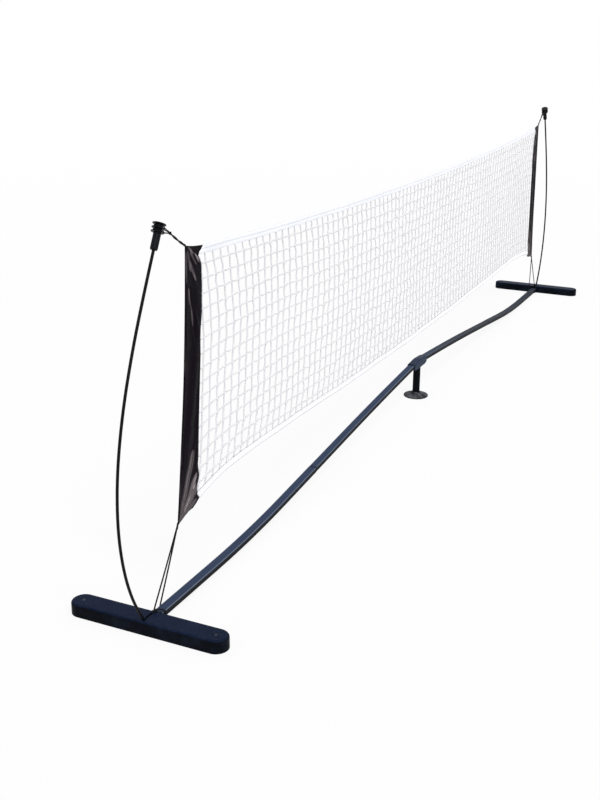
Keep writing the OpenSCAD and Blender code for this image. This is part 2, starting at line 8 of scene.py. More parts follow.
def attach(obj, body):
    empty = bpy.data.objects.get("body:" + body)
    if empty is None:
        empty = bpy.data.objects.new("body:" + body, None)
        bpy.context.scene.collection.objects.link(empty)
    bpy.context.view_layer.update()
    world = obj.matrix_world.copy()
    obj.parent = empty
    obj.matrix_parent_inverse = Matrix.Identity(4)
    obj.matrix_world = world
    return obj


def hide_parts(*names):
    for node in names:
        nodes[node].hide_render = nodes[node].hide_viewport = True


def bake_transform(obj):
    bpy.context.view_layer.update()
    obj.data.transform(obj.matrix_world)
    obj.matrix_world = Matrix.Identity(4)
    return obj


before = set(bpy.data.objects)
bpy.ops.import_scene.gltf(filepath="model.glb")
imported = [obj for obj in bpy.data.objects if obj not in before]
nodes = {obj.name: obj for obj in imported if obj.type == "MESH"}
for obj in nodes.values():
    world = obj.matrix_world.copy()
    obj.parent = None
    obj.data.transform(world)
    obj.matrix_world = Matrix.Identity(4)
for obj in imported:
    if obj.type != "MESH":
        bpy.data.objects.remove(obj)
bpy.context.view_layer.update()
scene = bpy.context.scene
print("frame loaded:", len(nodes), "nodes")

cameraSet = {
    "place": (-3.775, -1.276, 1.369),
    "heading": 25.03,  # degrees from +X towards +Y
    "down": 19.35,
    "roll": 0.45,
    "focalPixels": 1099.2,
    "frameHeight": 800,
    "sensor": 36.0,
    "clipEnd": 80.0,
}


def makeCamera(s):
    # A view direction from heading and tilt, then a roll about it
    heading, down, roll = (math.radians(s[k]) for k in ("heading", "down", "roll"))
    ahead = np.array([math.cos(down) * math.cos(heading),
                      math.cos(down) * math.sin(heading), -math.sin(down)])
    level = np.array([math.sin(heading), -math.cos(heading), 0.0])
    upright = np.cross(level, ahead)
    right = math.cos(roll) * level + math.sin(roll) * upright
    up = math.cos(roll) * upright - math.sin(roll) * level
    data = bpy.data.cameras.new("camera")
    data.sensor_width = s["sensor"]
    data.lens = s["focalPixels"] * s["sensor"] / s["frameHeight"]
    data.clip_end = s["clipEnd"]
    camera = bpy.data.objects.new("camera", data)
    scene.collection.objects.link(camera)
    turned = np.eye(4)
    turned[:3] = np.column_stack([right, up, -ahead, s["place"]])
    camera.matrix_world = Matrix(turned.tolist())
    scene.camera = camera


makeCamera(cameraSet)
print("camera placed")


# Small tools for surfaces

def unit(v):
    return v / np.maximum(np.linalg.norm(v, axis=-1, keepdims=True), 1e-12)


def smooth(x):
    # 0 below 0, 1 above 1, and 3x^2 - 2x^3 between
    x = np.clip(x, 0, 1)
    return x * x * (3 - 2 * x)


def hermite(t, start, end, startSlope, endSlope):
    # Cubic from start to end with the given slopes at them
    return ((2 * t**3 - 3 * t**2 + 1) * start + (t**3 - 2 * t**2 + t) * startSlope
            + (3 * t**2 - 2 * t**3) * end + (t**3 - t**2) * endSlope)


def curveThrough(points, count):
    # Cubic pieces through the points, even in chord length, each slope that between its neighbours
    p = np.asarray(points, float)
    chord = np.r_[0, np.cumsum(np.linalg.norm(np.diff(p, axis=0), axis=1))]
    slope = np.gradient(p, chord, axis=0)
    at = np.linspace(0, chord[-1], count)
    i = np.clip(np.searchsorted(chord, at, side="right") - 1, 0, len(p) - 2)
    step = (chord[i + 1] - chord[i])[:, None]
    return hermite((at - chord[i])[:, None] / step, p[i], p[i + 1], step * slope[i],
                   step * slope[i + 1])


def refine(points, shares):
    # The same between rows of points (..., n, 3), at the given shares of each step
    slope = np.gradient(points, axis=-2)
    t = np.asarray(shares)[:, None]
    fine = hermite(t, points[..., :-1, None, :], points[..., 1:, None, :],
                   slope[..., :-1, None, :], slope[..., 1:, None, :])
    fine = fine.reshape(*points.shape[:-2], -1, 3)
    return np.concatenate([fine, points[..., -1:, :]], axis=-2)


def tubeRings(path, radius, sides, lean):
    # Round a path (..., n, 3): centre + radius (cos a first + sin a second), where first and
    # second are square to the path. lean is a direction that the path never takes.
    along = unit(np.gradient(path, axis=-2))
    first = unit(np.cross(along, lean))
    second = np.cross(first, along)
    a = np.linspace(0, 2 * np.pi, sides, endpoint=False)[:, None]
    r = np.broadcast_to(radius, path.shape[:-1])[..., None, None]
    return path[..., None, :] + r * (np.cos(a) * first[..., None, :]
                                     + np.sin(a) * second[..., None, :])


def addMesh(name, points, quads, tris, uvOfQuads, uvOfTris, material):
    # Faces turned outward: the sum of a.(b x c) over the triangles is six times the volume
    corners = np.concatenate([quads[:, [0, 1, 2]], quads[:, [0, 2, 3]], tris])
    a, b, c = (points[corners[:, i]] for i in range(3))
    if (a * np.cross(b, c)).sum() < 0:
        quads, tris, uvOfQuads, uvOfTris = (x[:, ::-1] for x in (quads, tris, uvOfQuads, uvOfTris))
    mesh = bpy.data.meshes.new(name)
    mesh.from_pydata(points.tolist(), [], quads.tolist() + tris.tolist())
    layer = mesh.uv_layers.new(name="UVMap")
    flat = np.concatenate([uvOfQuads.reshape(-1), uvOfTris.reshape(-1)])
    layer.data.foreach_set("uv", flat.astype(np.float32))
    mesh.polygons.foreach_set("use_smooth", np.ones(len(mesh.polygons), bool))
    mesh.materials.append(material)
    piece = bpy.data.objects.new(name, mesh)
    scene.collection.objects.link(piece)
    return piece


def ringMesh(name, rings, material):
    # Rings (tubes, n, sides, 3): walls from ring to ring and a pole in the middle of each end.
    # Its map runs 0 to 1 round a tube and in metres along it.
    rings = rings.reshape(-1, *rings.shape[-3:])
    tubes, n, sides = rings.shape[:3]
    count = tubes * n * sides
    index = np.arange(count).reshape(tubes, n, sides)
    beside = np.roll(index, -1, axis=2)
    quads = np.stack([index[:, :-1], beside[:, :-1], beside[:, 1:], index[:, 1:]], -1)
    pole = count + np.arange(2 * tubes).reshape(tubes, 2, 1) + np.zeros(sides, int)
    ends = np.stack([np.stack([beside[:, 0], index[:, -1]], 1),
                     np.stack([index[:, 0], beside[:, -1]], 1), pole], -1)
    centre = rings.mean(axis=2)
    long = np.cumsum(np.linalg.norm(np.diff(centre, axis=1, prepend=centre[:, :1]), axis=2), axis=1)
    u = np.arange(sides) / sides + 0 * long[:, :, None]
    v = long[:, :, None] + 0 * u
    low, high = np.stack([u, v], -1), np.stack([u + 1 / sides, v], -1)
    uvOfQuads = np.stack([low[:, :-1], high[:, :-1], high[:, 1:], low[:, 1:]], -2)
    mid = (low + high) / 2
    uvOfEnds = np.stack([np.stack([high[:, 0], low[:, -1]], 1),
                         np.stack([low[:, 0], high[:, -1]], 1),
                         np.stack([mid[:, 0], mid[:, -1]], 1)], -2)
    points = np.concatenate([rings.reshape(-1, 3), rings[:, [0, -1]].mean(axis=2).reshape(-1, 3)])
    return addMesh(name, points, quads.reshape(-1, 4), ends.reshape(-1, 3),
                   uvOfQuads.reshape(-1, 4, 2), uvOfEnds.reshape(-1, 3, 2), material)


def shellMesh(name, middle, half, uv, material):
    # Two skins at middle +- half along its normal, with a wall round their rim
    across = unit(np.cross(np.gradient(middle, axis=0), np.gradient(middle, axis=1)))
    points = np.concatenate([(middle + s * across * half[..., None]).reshape(-1, 3)
                             for s in (1, -1)])
    index = np.arange(half.size).reshape(half.shape)
    skin = np.stack([index[:-1, :-1], index[1:, :-1], index[1:, 1:], index[:-1, 1:]], -1)
    skin = skin.reshape(-1, 4)
    rim = np.concatenate([index[:-1, 0], index[-1, :-1], index[:0:-1, -1], index[0, :0:-1]])
    after = np.roll(rim, -1)
    wall = np.stack([after, rim, rim + half.size, after + half.size], -1)
    quads = np.concatenate([skin, skin[:, ::-1] + half.size, wall])
    flat = np.tile(uv.reshape(-1, 2), (2, 1))
    return addMesh(name, points, quads, np.zeros((0, 3), int), flat[quads],
                   np.zeros((0, 3, 2)), material)


# Small tools for materials

def tint(red, green, blue):
    # A screen colour, 0 to 255, as a linear one
    c = np.array([red, green, blue]) / 255
    linear = np.where(c <= 0.04045, c / 12.92, ((c + 0.055) / 1.055) ** 2.4)
    return (*linear.tolist(), 1.0)


def toned(colour, share):
    # A colour with share of its light
    return tuple(share * c for c in colour[:3]) + (1.0,)


def plug(tree, socket, value):
    if isinstance(value, bpy.types.NodeSocket):
        tree.links.new(value, socket)
    else:
        socket.default_value = value


def coords(tree, kind="Object", scale=(1, 1, 1)):
    source = tree.nodes.new("ShaderNodeTexCoord").outputs[kind]
    mapping = tree.nodes.new("ShaderNodeMapping")
    tree.links.new(source, mapping.inputs["Vector"])
    mapping.inputs["Scale"].default_value = scale
    return mapping.outputs[0]


def noise(tree, place, scale, detail=2.0, rough=0.5):
    n = tree.nodes.new("ShaderNodeTexNoise")
    plug(tree, n.inputs["Vector"], place)
    n.inputs["Scale"].default_value = scale
    n.inputs["Detail"].default_value = detail
    n.inputs["Roughness"].default_value = rough
    return n.outputs["Fac"]


def calc(tree, operation, first, second=0.0, third=0.0):
    n = tree.nodes.new("ShaderNodeMath")
    n.operation = operation
    for socket, value in zip(n.inputs, (first, second, third)):
        plug(tree, socket, value)
    return n.outputs[0]


def times(tree, first, second):
    return calc(tree, "MULTIPLY", first, second)


def offFrom(tree, value, middle):
    # |value - middle|
    return calc(tree, "ABSOLUTE", calc(tree, "SUBTRACT", value, middle))


def part(tree, place, axis):
    n = tree.nodes.new("ShaderNodeSeparateXYZ")
    plug(tree, n.inputs[0], place)
    return n.outputs[axis]


def waves(tree, value, perUnit):
    # 0 to 1 and back, perUnit times in each unit of value
    turn = times(tree, value, 2 * math.pi * perUnit)
    return calc(tree, "MULTIPLY_ADD", calc(tree, "SINE", turn), 0.5, 0.5)


def spread(tree, value, low, high, toLow, toHigh, kind="LINEAR"):
    n = tree.nodes.new("ShaderNodeMapRange")
    n.interpolation_type = kind
    plug(tree, n.inputs[0], value)
    for i, number in enumerate((low, high, toLow, toHigh)):
        plug(tree, n.inputs[i + 1], number)
    return n.outputs[0]


def mixColour(tree, share, first, second):
    n = tree.nodes.new("ShaderNodeMix")
    n.data_type = "RGBA"
    for i, value in ((0, share), (6, first), (7, second)):
        plug(tree, n.inputs[i], value)
    return n.outputs[2]


def bump(tree, height, distance, strength=1.0, under=None):
    n = tree.nodes.new("ShaderNodeBump")
    plug(tree, n.inputs["Height"], height)
    n.inputs["Distance"].default_value = distance
    n.inputs["Strength"].default_value = strength
    if under is not None:
        plug(tree, n.inputs["Normal"], under)
    return n.outputs[0]


def newMaterial(name, gloss, **fixed):
    # A material and its tree; gloss and what is fixed go straight on the shader's own sockets
    material = bpy.data.materials.new(name)
    material.use_nodes = True
    tree = material.node_tree
    shader = tree.nodes["Principled BSDF"]
    shader.inputs["Specular IOR Level"].default_value = gloss
    for key, value in fixed.items():
        shader.inputs[key].default_value = value
    return material, tree, shader


def finished(material, shader, colour, rough, normal):
    # The material, with the last three of its sockets plugged
    for key, value in (("Base Color", colour), ("Roughness", rough), ("Normal", normal)):
        plug(material.node_tree, shader.inputs[key], value)
    return material


paintSet = {
    "beam": tint(50, 61, 84), "worn": tint(74, 84, 104), "rough": (0.42, 0.55),
    "peel": 900, "scuff": (3, 60, 60), "gloss": 0.025,
    # Painted light in these tones: painted shade for the far half, sides and underside, a painted
    # highlight for the upper edges, grime with a painted shadow for the seams
    "farShade": tint(30, 34, 39), "side": tint(31, 33, 39), "low": tint(14, 14, 18),
    "wearAndHighlight": tint(104, 114, 130), "grimeAndShadow": tint(12, 13, 16),
    "innerHalf": 0.01255, "outerHalf": 0.01305,  # half widths of the two tubes
    # Between these places along the beam a painted shade greys it by a share, and the painted
    # highlight fades to one
    "farShadeFrom": -0.1, "farShadeTo": 0.5, "farShadeShare": 0.8, "highlightFar": 0.25,
    # In from a tube's side: the ramp of the painted shade on the side, and the painted highlight
    # line with its own ramp
    "shadedSideDepths": (0.0010, 0.0003), "wearAndHighlightDepth": 0.0013, "highlightHalf": (0.0004, 0.0012),
    # Ramps of the painted shade and highlight by the height above the beam's middle line
    "shadedSideHeights": (-0.005, 0.005), "shadedUnderHeights": (-0.001, -0.005),
    "highlightHeights": (0.0045, 0.0060),
    "seams": (0.067, 0.947), "grimeAndShadowHalf": (0.0022, 0.0036),
    # Height of the beam's middle line at distances from the net's centre
    "line": ((0.0, 0.1366), (0.15, 0.1262), (0.26, 0.1178), (0.37, 0.1090), (0.48, 0.0997),
             (0.59, 0.0899), (0.70, 0.0795), (0.947, 0.0557), (1.16, 0.0352), (1.26, 0.0268),
             (1.36, 0.0208), (1.46, 0.0172), (1.56, 0.0160)),
}


def middleLine(tree, x, line):
    # Height of the beam's middle line: a sum of one ramp for each step of the line
    height = line[0][1]
    for (fromX, fromZ), (toX, toZ) in zip(line, line[1:]):
        height = calc(tree, "ADD", height, spread(tree, x, fromX, toX, 0, toZ - fromZ))
    return height


def beamToneAndPaintedLight(tree, s, tone, place, half, scuff):
    # The coat on a tube of the beam: painted shade greys it to the right and darkens its sides,
    # most its underside; a painted highlight runs along each upper edge; grime and a painted shadow
    # sit at the seams
    right = part(tree, place, "X")
    # Painted shade: the tube greys towards the right
    tone = mixColour(tree, spread(tree, right, s["farShadeFrom"], s["farShadeTo"], 0, s["farShadeShare"]), tone,
                     s["farShade"])
    x, y = calc(tree, "ABSOLUTE", right), calc(tree, "ABSOLUTE", part(tree, place, "Y"))
    above = calc(tree, "SUBTRACT", part(tree, place, "Z"), middleLine(tree, x, s["line"]))
    # Painted shade: darker sides, darkest towards the bottom, and the underside darker still
    side = mixColour(tree, spread(tree, above, *s["shadedSideHeights"], 0, 1), s["low"], s["side"])
    sideShadeFrom, sideShadeTo = (half - depth for depth in s["shadedSideDepths"])
    tone = mixColour(tree, spread(tree, y, sideShadeFrom, sideShadeTo, 0, 1), tone, side)
    tone = mixColour(tree, spread(tree, above, *s["shadedUnderHeights"], 0, 1), tone, s["low"])
    # Painted highlight: a light line along each upper edge, broken by the scuffs, fading to the
    # right
    off = offFrom(tree, y, half - s["wearAndHighlightDepth"])
    edge = times(tree, spread(tree, off, *s["highlightHalf"], 1, 0),
                 spread(tree, above, *s["highlightHeights"], 0, 1))
    edge = times(tree, edge, spread(tree, scuff, 0.3, 0.6, 0.7, 1.0))
    edge = times(tree, edge, spread(tree, right, 0.0, s["farShadeTo"], 1.0, s["highlightFar"]))
    tone = mixColour(tree, edge, tone, s["wearAndHighlight"])
    # Grime and a painted shadow line at each seam, where a tube ends
    for at in s["seams"]:
        off = offFrom(tree, x, at)
        tone = mixColour(tree, spread(tree, off, *s["grimeAndShadowHalf"], 1, 0), tone, s["grimeAndShadow"])
    return tone


def paintedSteel(name, s, half=None):
    # Satin powder coat: orange peel, long scuffs along the tube and a few rubbed specks. half is
    # the half width of a tube of the beam, which gets its own painted shade, painted highlight and
    # grime.
    material, tree, shader = newMaterial(name, s["gloss"])
    place = coords(tree)
    peel = noise(tree, place, s["peel"], 1.0)
    scuff = noise(tree, coords(tree, scale=s["scuff"]), 6, 6.0, 0.65)
    cloud = noise(tree, place, 9, 3.0)
    specks = spread(tree, noise(tree, place, 260, 4.0, 0.7), 0.70, 0.78, 0.0, 0.6)
    tone = mixColour(tree, spread(tree, cloud, 0.3, 0.7, 0.0, 0.22), s["beam"],
                     toned(s["beam"], 1.5))
    if half is not None:
        tone = beamToneAndPaintedLight(tree, s, tone, place, half, scuff)
    colour = mixColour(tree, specks, tone, s["worn"])
    rough = spread(tree, scuff, 0.35, 0.7, *s["rough"])
    normal = bump(tree, scuff, 0.0004, 0.25, bump(tree, peel, 0.0003, 0.3))
    return finished(material, shader, colour, rough, normal)


plasticSet = {
    # The foot's tones near its top: rubbed wear with a painted highlight on the top edge, and
    # painted shade on the sides below
    "dark": tint(14, 24, 46), "light": tint(36, 46, 66), "low": tint(10, 13, 19),
    "grain": 1400, "gloss": 0.02, "rough": (0.32, 0.5),
    "footTop": 0.034, "wearAndHighlightDepth": 0.004, "wearAndHighlightShare": 0.28,
    "shade": (0.0035, 0.0010),  # below the top: where the sides are darkest, and where it ends
}


def mouldedPlastic(name, s, edge=None):
    # Fine spark-eroded grain, cloudy handling marks and, near a height, rubbed wear with a painted
    # highlight along the top edge and painted shade on the sides under it
    material, tree, shader = newMaterial(name, s["gloss"])
    place = coords(tree)
    grain = noise(tree, place, s["grain"], 2.0, 0.6)
    marks = noise(tree, place, 22, 5.0, 0.6)
    share, dark = spread(tree, marks, 0.45, 0.8, 0.0, 0.35), s["dark"]
    if edge is not None:
        height = part(tree, place, "Z")
        # Rubbed wear and a painted highlight: lighter up to the top, broken by a noise
        wearAndHighlight = spread(tree, height, edge - s["wearAndHighlightDepth"], edge, 0.0, s["wearAndHighlightShare"])
        broken = spread(tree, noise(tree, place, 140, 4.0), 0.4, 0.6, 0.2, 1.0)
        share = calc(tree, "ADD", share, times(tree, wearAndHighlight, broken))
        # Painted shade: the sides darker below the top edge
        high = spread(tree, height, edge - s["shade"][0], edge - s["shade"][1], 0, 1)
        dark = mixColour(tree, high, s["low"], s["dark"])
    colour = mixColour(tree, share, dark, s["light"])
    rough = spread(tree, marks, 0.3, 0.8, *s["rough"])
    return finished(material, shader, colour, rough, bump(tree, grain, 0.0003, 0.2))


def rubber(name, dark, dust, dustHeight):
    # Matt rubber with a bloom of dust that settles above a height
    material, tree, shader = newMaterial(name, 0.08)
    place = coords(tree)
    grain = noise(tree, place, 900, 3.0, 0.65)
    patch = noise(tree, place, 55, 6.0, 0.7)
    settled = spread(tree, part(tree, place, "Z"), dustHeight, dustHeight + 0.006, 0.15, 1.0)
    share = times(tree, spread(tree, patch, 0.42, 0.68, 0.05, 0.9), settled)
    colour = mixColour(tree, share, dark, dust)
    return finished(material, shader, colour, spread(tree, patch, 0.3, 0.7, 0.55, 0.8),
                    bump(tree, grain, 0.0004, 0.5))


def glassFibre(name, dark, fibre):
    # Pultruded rod: fibres that run along it show through a thin resin skin
    material, tree, shader = newMaterial(name, 0.06, **{"Coat Weight": 0.04,
                                                        "Coat Roughness": 0.18})
    strands = noise(tree, coords(tree, scale=(500, 500, 6)), 1, 3.0, 0.6)
    wearAndHighlight = noise(tree, coords(tree), 35, 4.0)
    colour = mixColour(tree, spread(tree, strands, 0.45, 0.75, 0.0, 0.6), dark, fibre)
    return finished(material, shader, colour, spread(tree, wearAndHighlight, 0.3, 0.7, 0.28, 0.46),
                    bump(tree, strands, 0.0002, 0.3))


def zincSteel(name, tone):
    # Plated steel with crystals and turned marks
    material, tree, shader = newMaterial(name, 0.5, Metallic=1.0)
    place = coords(tree)
    cell = tree.nodes.new("ShaderNodeTexVoronoi")
    plug(tree, cell.inputs["Vector"], place)
    cell.inputs["Scale"].default_value = 700
    colour = mixColour(tree, spread(tree, cell.outputs["Distance"], 0.0, 0.7, 0.0, 0.5), tone,
                       toned(tone, 0.6))
    rough = spread(tree, noise(tree, place, 90), 0.3, 0.7, 0.28, 0.5)
    return finished(material, shader, colour, rough,
                    bump(tree, noise(tree, place, 1200), 0.0002, 0.3))


def creaseHighlightLine(tree, x, z, crease, slim):
    # The share of painted highlight falls by a smooth step with the distance from the line between
    # the crease's ends, over a half width that slims by the cube of the way from its middle to an
    # end
    fromX, fromZ, toX, toZ, width, endWidth, strength = crease
    long = math.hypot(toX - fromX, toZ - fromZ)
    rayX, rayZ = (toX - fromX) / long, (toZ - fromZ) / long
    offX, offZ = calc(tree, "SUBTRACT", x, fromX), calc(tree, "SUBTRACT", z, fromZ)
    along = calc(tree, "MULTIPLY_ADD", offX, rayX, times(tree, offZ, rayZ))
    aside = calc(tree, "MULTIPLY_ADD", offX, rayZ, times(tree, offZ, -rayX))
    past = calc(tree, "SUBTRACT", along, spread(tree, along, 0, long, 0, long))
    off = calc(tree, "SQRT", calc(tree, "MULTIPLY_ADD", aside, aside,
                                  times(tree, past, past)))
    end = calc(tree, "ABSOLUTE", spread(tree, along, 0, long, -1, 1))
    half = times(tree, spread(tree, along, 0, long, width, endWidth),
                 calc(tree, "MULTIPLY_ADD", calc(tree, "POWER", end, 3), -slim, 1))
    return spread(tree, calc(tree, "DIVIDE", off, half), 0.2, 1, strength, 0, "SMOOTHSTEP")


def creaseHighlightShare(tree, s):
    # The largest share of all the painted crease highlights counts, and the right sleeve has less
    # of it.
    # Fine gathers break it up: a noise on the angle round the fan's centre, and one drawn upright.
    place = coords(tree)
    x = times(tree, calc(tree, "ABSOLUTE", part(tree, place, "X")), 1000)
    z = times(tree, part(tree, place, "Z"), 1000)
    total = 0.0
    for crease in s["creaseHighlights"]:
        total = calc(tree, "MAXIMUM", total, creaseHighlightLine(tree, x, z, crease, s["slim"]))
    turn = calc(tree, "ARCTAN2", calc(tree, "SUBTRACT", x, s["fan"][0]),
                calc(tree, "SUBTRACT", z, s["fan"][1]))
    join = tree.nodes.new("ShaderNodeCombineXYZ")
    plug(tree, join.inputs[0], turn)
    rays = spread(tree, noise(tree, join.outputs[0], s["rays"], 3.0), 0.36, 0.64, 0.3, 1.35)
    gathers = spread(tree, noise(tree, coords(tree, scale=(1, 1, 0.25)), s["gathers"]), 0.3, 0.7,
                     0.75, 1.1)
    right = spread(tree, part(tree, place, "X"), -1, 1, 1, s["rightHighlightShare"])
    total = times(tree, total, right)
    return times(tree, times(tree, total, rays), gathers)


def seamShadeShare(tree, s):
    # Lines of painted shade along a folded band: the map's first axis counts the section's points,
    # and a line is given by its points from the fold, its half width in them and its strength
    point = times(tree, part(tree, coords(tree, "UV"), "X"), s["points"])
    fromFold = offFrom(tree, point, s["fold"])
    total = 0.0
    for at, width, strength in s["shadeLines"]:
        off = offFrom(tree, fromFold, at)
        total = calc(tree, "MAXIMUM", total, spread(tree, off, 0.3 * width, width, strength, 0))
    return total


def wovenCloth(name, s, marks):
    # Plain weave on the piece's own map, in metres: each thread passes over and under in turn.
    # marks works out the share of the painted light tone: painted highlight or painted shade.
    material, tree, shader = newMaterial(name, s["gloss"])
    weave = coords(tree, "UV")
    warp = waves(tree, part(tree, weave, "X"), s["perMetre"])
    weft = waves(tree, part(tree, weave, "Y"), s["perMetre"])
    over = times(tree, warp, weft)
    under = times(tree, calc(tree, "SUBTRACT", 1.0, warp),
                  calc(tree, "SUBTRACT", 1.0, weft))
    cross = calc(tree, "ADD", over, under)
    cloud = noise(tree, coords(tree), 30, 5.0, 0.6)
    share = calc(tree, "MULTIPLY_ADD", cross, 0.3, spread(tree, cloud, 0.4, 0.8, 0.0, 0.45))
    colour = mixColour(tree, share, s["base"], s["sheen"])
    # The second tone is painted light: painted highlight along creases, painted shade in lines
    # along seams
    colour = mixColour(tree, marks(tree, s), colour, s["paintedLightTone"])
    crumple = noise(tree, coords(tree), 120, 4.0, 0.55)
    normal = bump(tree, cross, 0.0002, 0.5, bump(tree, crumple, s["depth"], 0.6))
    return finished(material, shader, colour, spread(tree, cloud, 0.3, 0.7, *s["rough"]), normal)


def laidTwine(name, base, grooveShade, perMetre, starts, rough, gloss=0.4):
    # Strands laid round the cord: a wave on (starts x round + length / pitch), with painted shade
    # in the grooves
    material, tree, shader = newMaterial(name, gloss)
    place = coords(tree, "UV")
    turn = times(tree, part(tree, place, "X"), starts)
    lay = calc(tree, "MULTIPLY_ADD", part(tree, place, "Y"), perMetre, turn)
    strand = waves(tree, lay, 1)
    fuzz = noise(tree, coords(tree), 500, 4.0, 0.7)
    # Painted shade in the grooves between strands, with a random fuzz tone
    share = calc(tree, "ADD", spread(tree, strand, 0.0, 0.45, 0.55, 0.0),
                 spread(tree, fuzz, 0.4, 0.8, 0.0, 0.3))
    colour = mixColour(tree, share, base, grooveShade)
    normal = bump(tree, strand, 0.0005, 0.7, bump(tree, fuzz, 0.0003, 0.4))
    return finished(material, shader, colour, spread(tree, fuzz, 0.3, 0.7, *rough), normal)


def braidedCord(name, base, shine, perMetre, carriers):
    # Diamond braid: two crossing sets of carriers on the cord's own map
    material, tree, shader = newMaterial(name, 0.12)
    place = coords(tree, "UV")
    around = times(tree, part(tree, place, "X"), carriers)
    ahead = times(tree, part(tree, place, "Y"), perMetre)
    cross = times(tree, waves(tree, calc(tree, "ADD", around, ahead), 1),
                  waves(tree, calc(tree, "SUBTRACT", around, ahead), 1))
    fuzz = noise(tree, coords(tree), 700, 3.0, 0.7)
    colour = mixColour(tree, times(tree, cross, 0.8), base, shine)
    return finished(material, shader, colour, spread(tree, fuzz, 0.3, 0.7, 0.5, 0.72),
                    bump(tree, cross, 0.0004, 0.8))


innerPaint = paintedSteel("innerPaint", paintSet, paintSet["innerHalf"])
outerPaint = paintedSteel("outerPaint", paintSet, paintSet["outerHalf"])
legPaint = paintedSteel("legPaint", {**paintSet, "beam": tint(9, 10, 14), "worn": tint(40, 44, 52),
                                     "scuff": (60, 60, 4), "gloss": 0.03})
connectorPlastic = mouldedPlastic("connectorPlastic",
                                  {**plasticSet, "dark": tint(38, 49, 68),
                                   "light": tint(54, 66, 86)})
footPlastic = mouldedPlastic("footPlastic", plasticSet, edge=plasticSet["footTop"])
capPlastic = mouldedPlastic("capPlastic", {**plasticSet, "dark": tint(13, 15, 19),
                                           "light": tint(44, 49, 57), "gloss": 0.08})
padRubber = rubber("padRubber", tint(22, 23, 26), tint(112, 114, 120), 0.001)
gripRubber = rubber("gripRubber", tint(30, 30, 32), tint(60, 60, 60), 0.2)
rodFibre = glassFibre("rodFibre", tint(9, 10, 12), tint(22, 23, 26))
screwSteel = zincSteel("screwSteel", tint(84, 86, 92))
spigotSteel = zincSteel("spigotSteel", tint(160, 163, 168))
sleeveClothSet = {
    # The last tone here is painted highlight, laid along the creases below, less of it on the right
    # sleeve
    "base": tint(14, 9, 15), "sheen": tint(23, 19, 27), "paintedLightTone": tint(158, 148, 151),
    "perMetre": 1100, "rough": (0.34, 0.46), "gloss": 0.02, "depth": 0.0006,
    "fan": (1731, 207), "rays": 26, "gathers": 240, "slim": 0.55, "rightHighlightShare": 0.6,
    # In mm: x and z of both ends of each painted crease highlight, the half width at each, and the
    # strength
    "creaseHighlights": ((1650, 868, 1629, 851, 4, 5, 0.55), (1653, 860, 1640, 812, 7, 8, 0.25),
                (1645, 836, 1619, 786, 8, 7, 0.38), (1643, 858, 1618, 824, 6, 5, 0.25),
                (1620, 848, 1601, 825, 4.5, 5, 0.9), (1661, 858, 1663, 788, 4, 3.5, 0.2),
                (1653, 772, 1645, 728, 6, 8, 0.3), (1646, 742, 1635, 680, 8, 7, 0.3),
                (1676, 700, 1682, 570, 4, 4, 0.08), (1726, 212, 1650, 366, 8, 21, 0.36),
                (1700, 230, 1640, 306, 11, 13, 0.62), (1653, 274, 1641, 306, 10, 9, 0.85),
                (1690, 236, 1640, 272, 14, 15, 0.5), (1722, 216, 1646, 240, 10, 13, 0.34),
                (1722, 216, 1686, 252, 8, 10, 0.34), (1705, 420, 1709, 355, 4, 4, 0.14),
                (1714, 330, 1719, 240, 3, 3, 0.08), (1729, 206, 1720, 228, 7, 7, 0.22)),
}
tapeClothSet = {
    # The last tone here is painted shade, laid in lines along the fold, a stitch row and the band's
    # open edge
    "base": tint(246, 247, 252), "sheen": tint(238, 240, 249), "paintedLightTone": tint(218, 221, 232),
    "perMetre": 700, "rough": (0.45, 0.6), "gloss": 0.35, "depth": 0.0004,
    "points": 58, "fold": 14, "shadeLines": ((0, 1.6, 0.5), (7, 1.1, 0.6), (13.5, 1.6, 0.6)),
}
sleeveCloth = wovenCloth("sleeveCloth", sleeveClothSet, creaseHighlightShare)
tapeCloth = wovenCloth("tapeCloth", tapeClothSet, seamShadeShare)
# The bottom tape is a whiter copy of the tape cloth, painted light, with a broader line of painted
# shade along its fold
litLowTapeSet = {**tapeClothSet, "base": tint(251, 251, 253), "sheen": tint(246, 247, 252),
              "paintedLightTone": tint(180, 182, 198), "shadeLines": ((0, 4.2, 1.0), (13.5, 1.6, 0.5))}
litLowTapeCloth = wovenCloth("litLowTapeCloth", litLowTapeSet, seamShadeShare)
netTwine = laidTwine("netTwine", tint(232, 231, 235), tint(203, 202, 208), 230, 2, (0.55, 0.75))
whiteThread = laidTwine("whiteThread", tint(226, 229, 238), tint(190, 194, 206), 900, 2, (0.5, 0.7))
darkThread = laidTwine("darkThread", tint(34, 31, 33), tint(12, 11, 12), 900, 2, (0.5, 0.7))
tieBraid = braidedCord("tieBraid", tint(8, 8, 10), tint(30, 30, 34), 240, 4)
print("materials made")


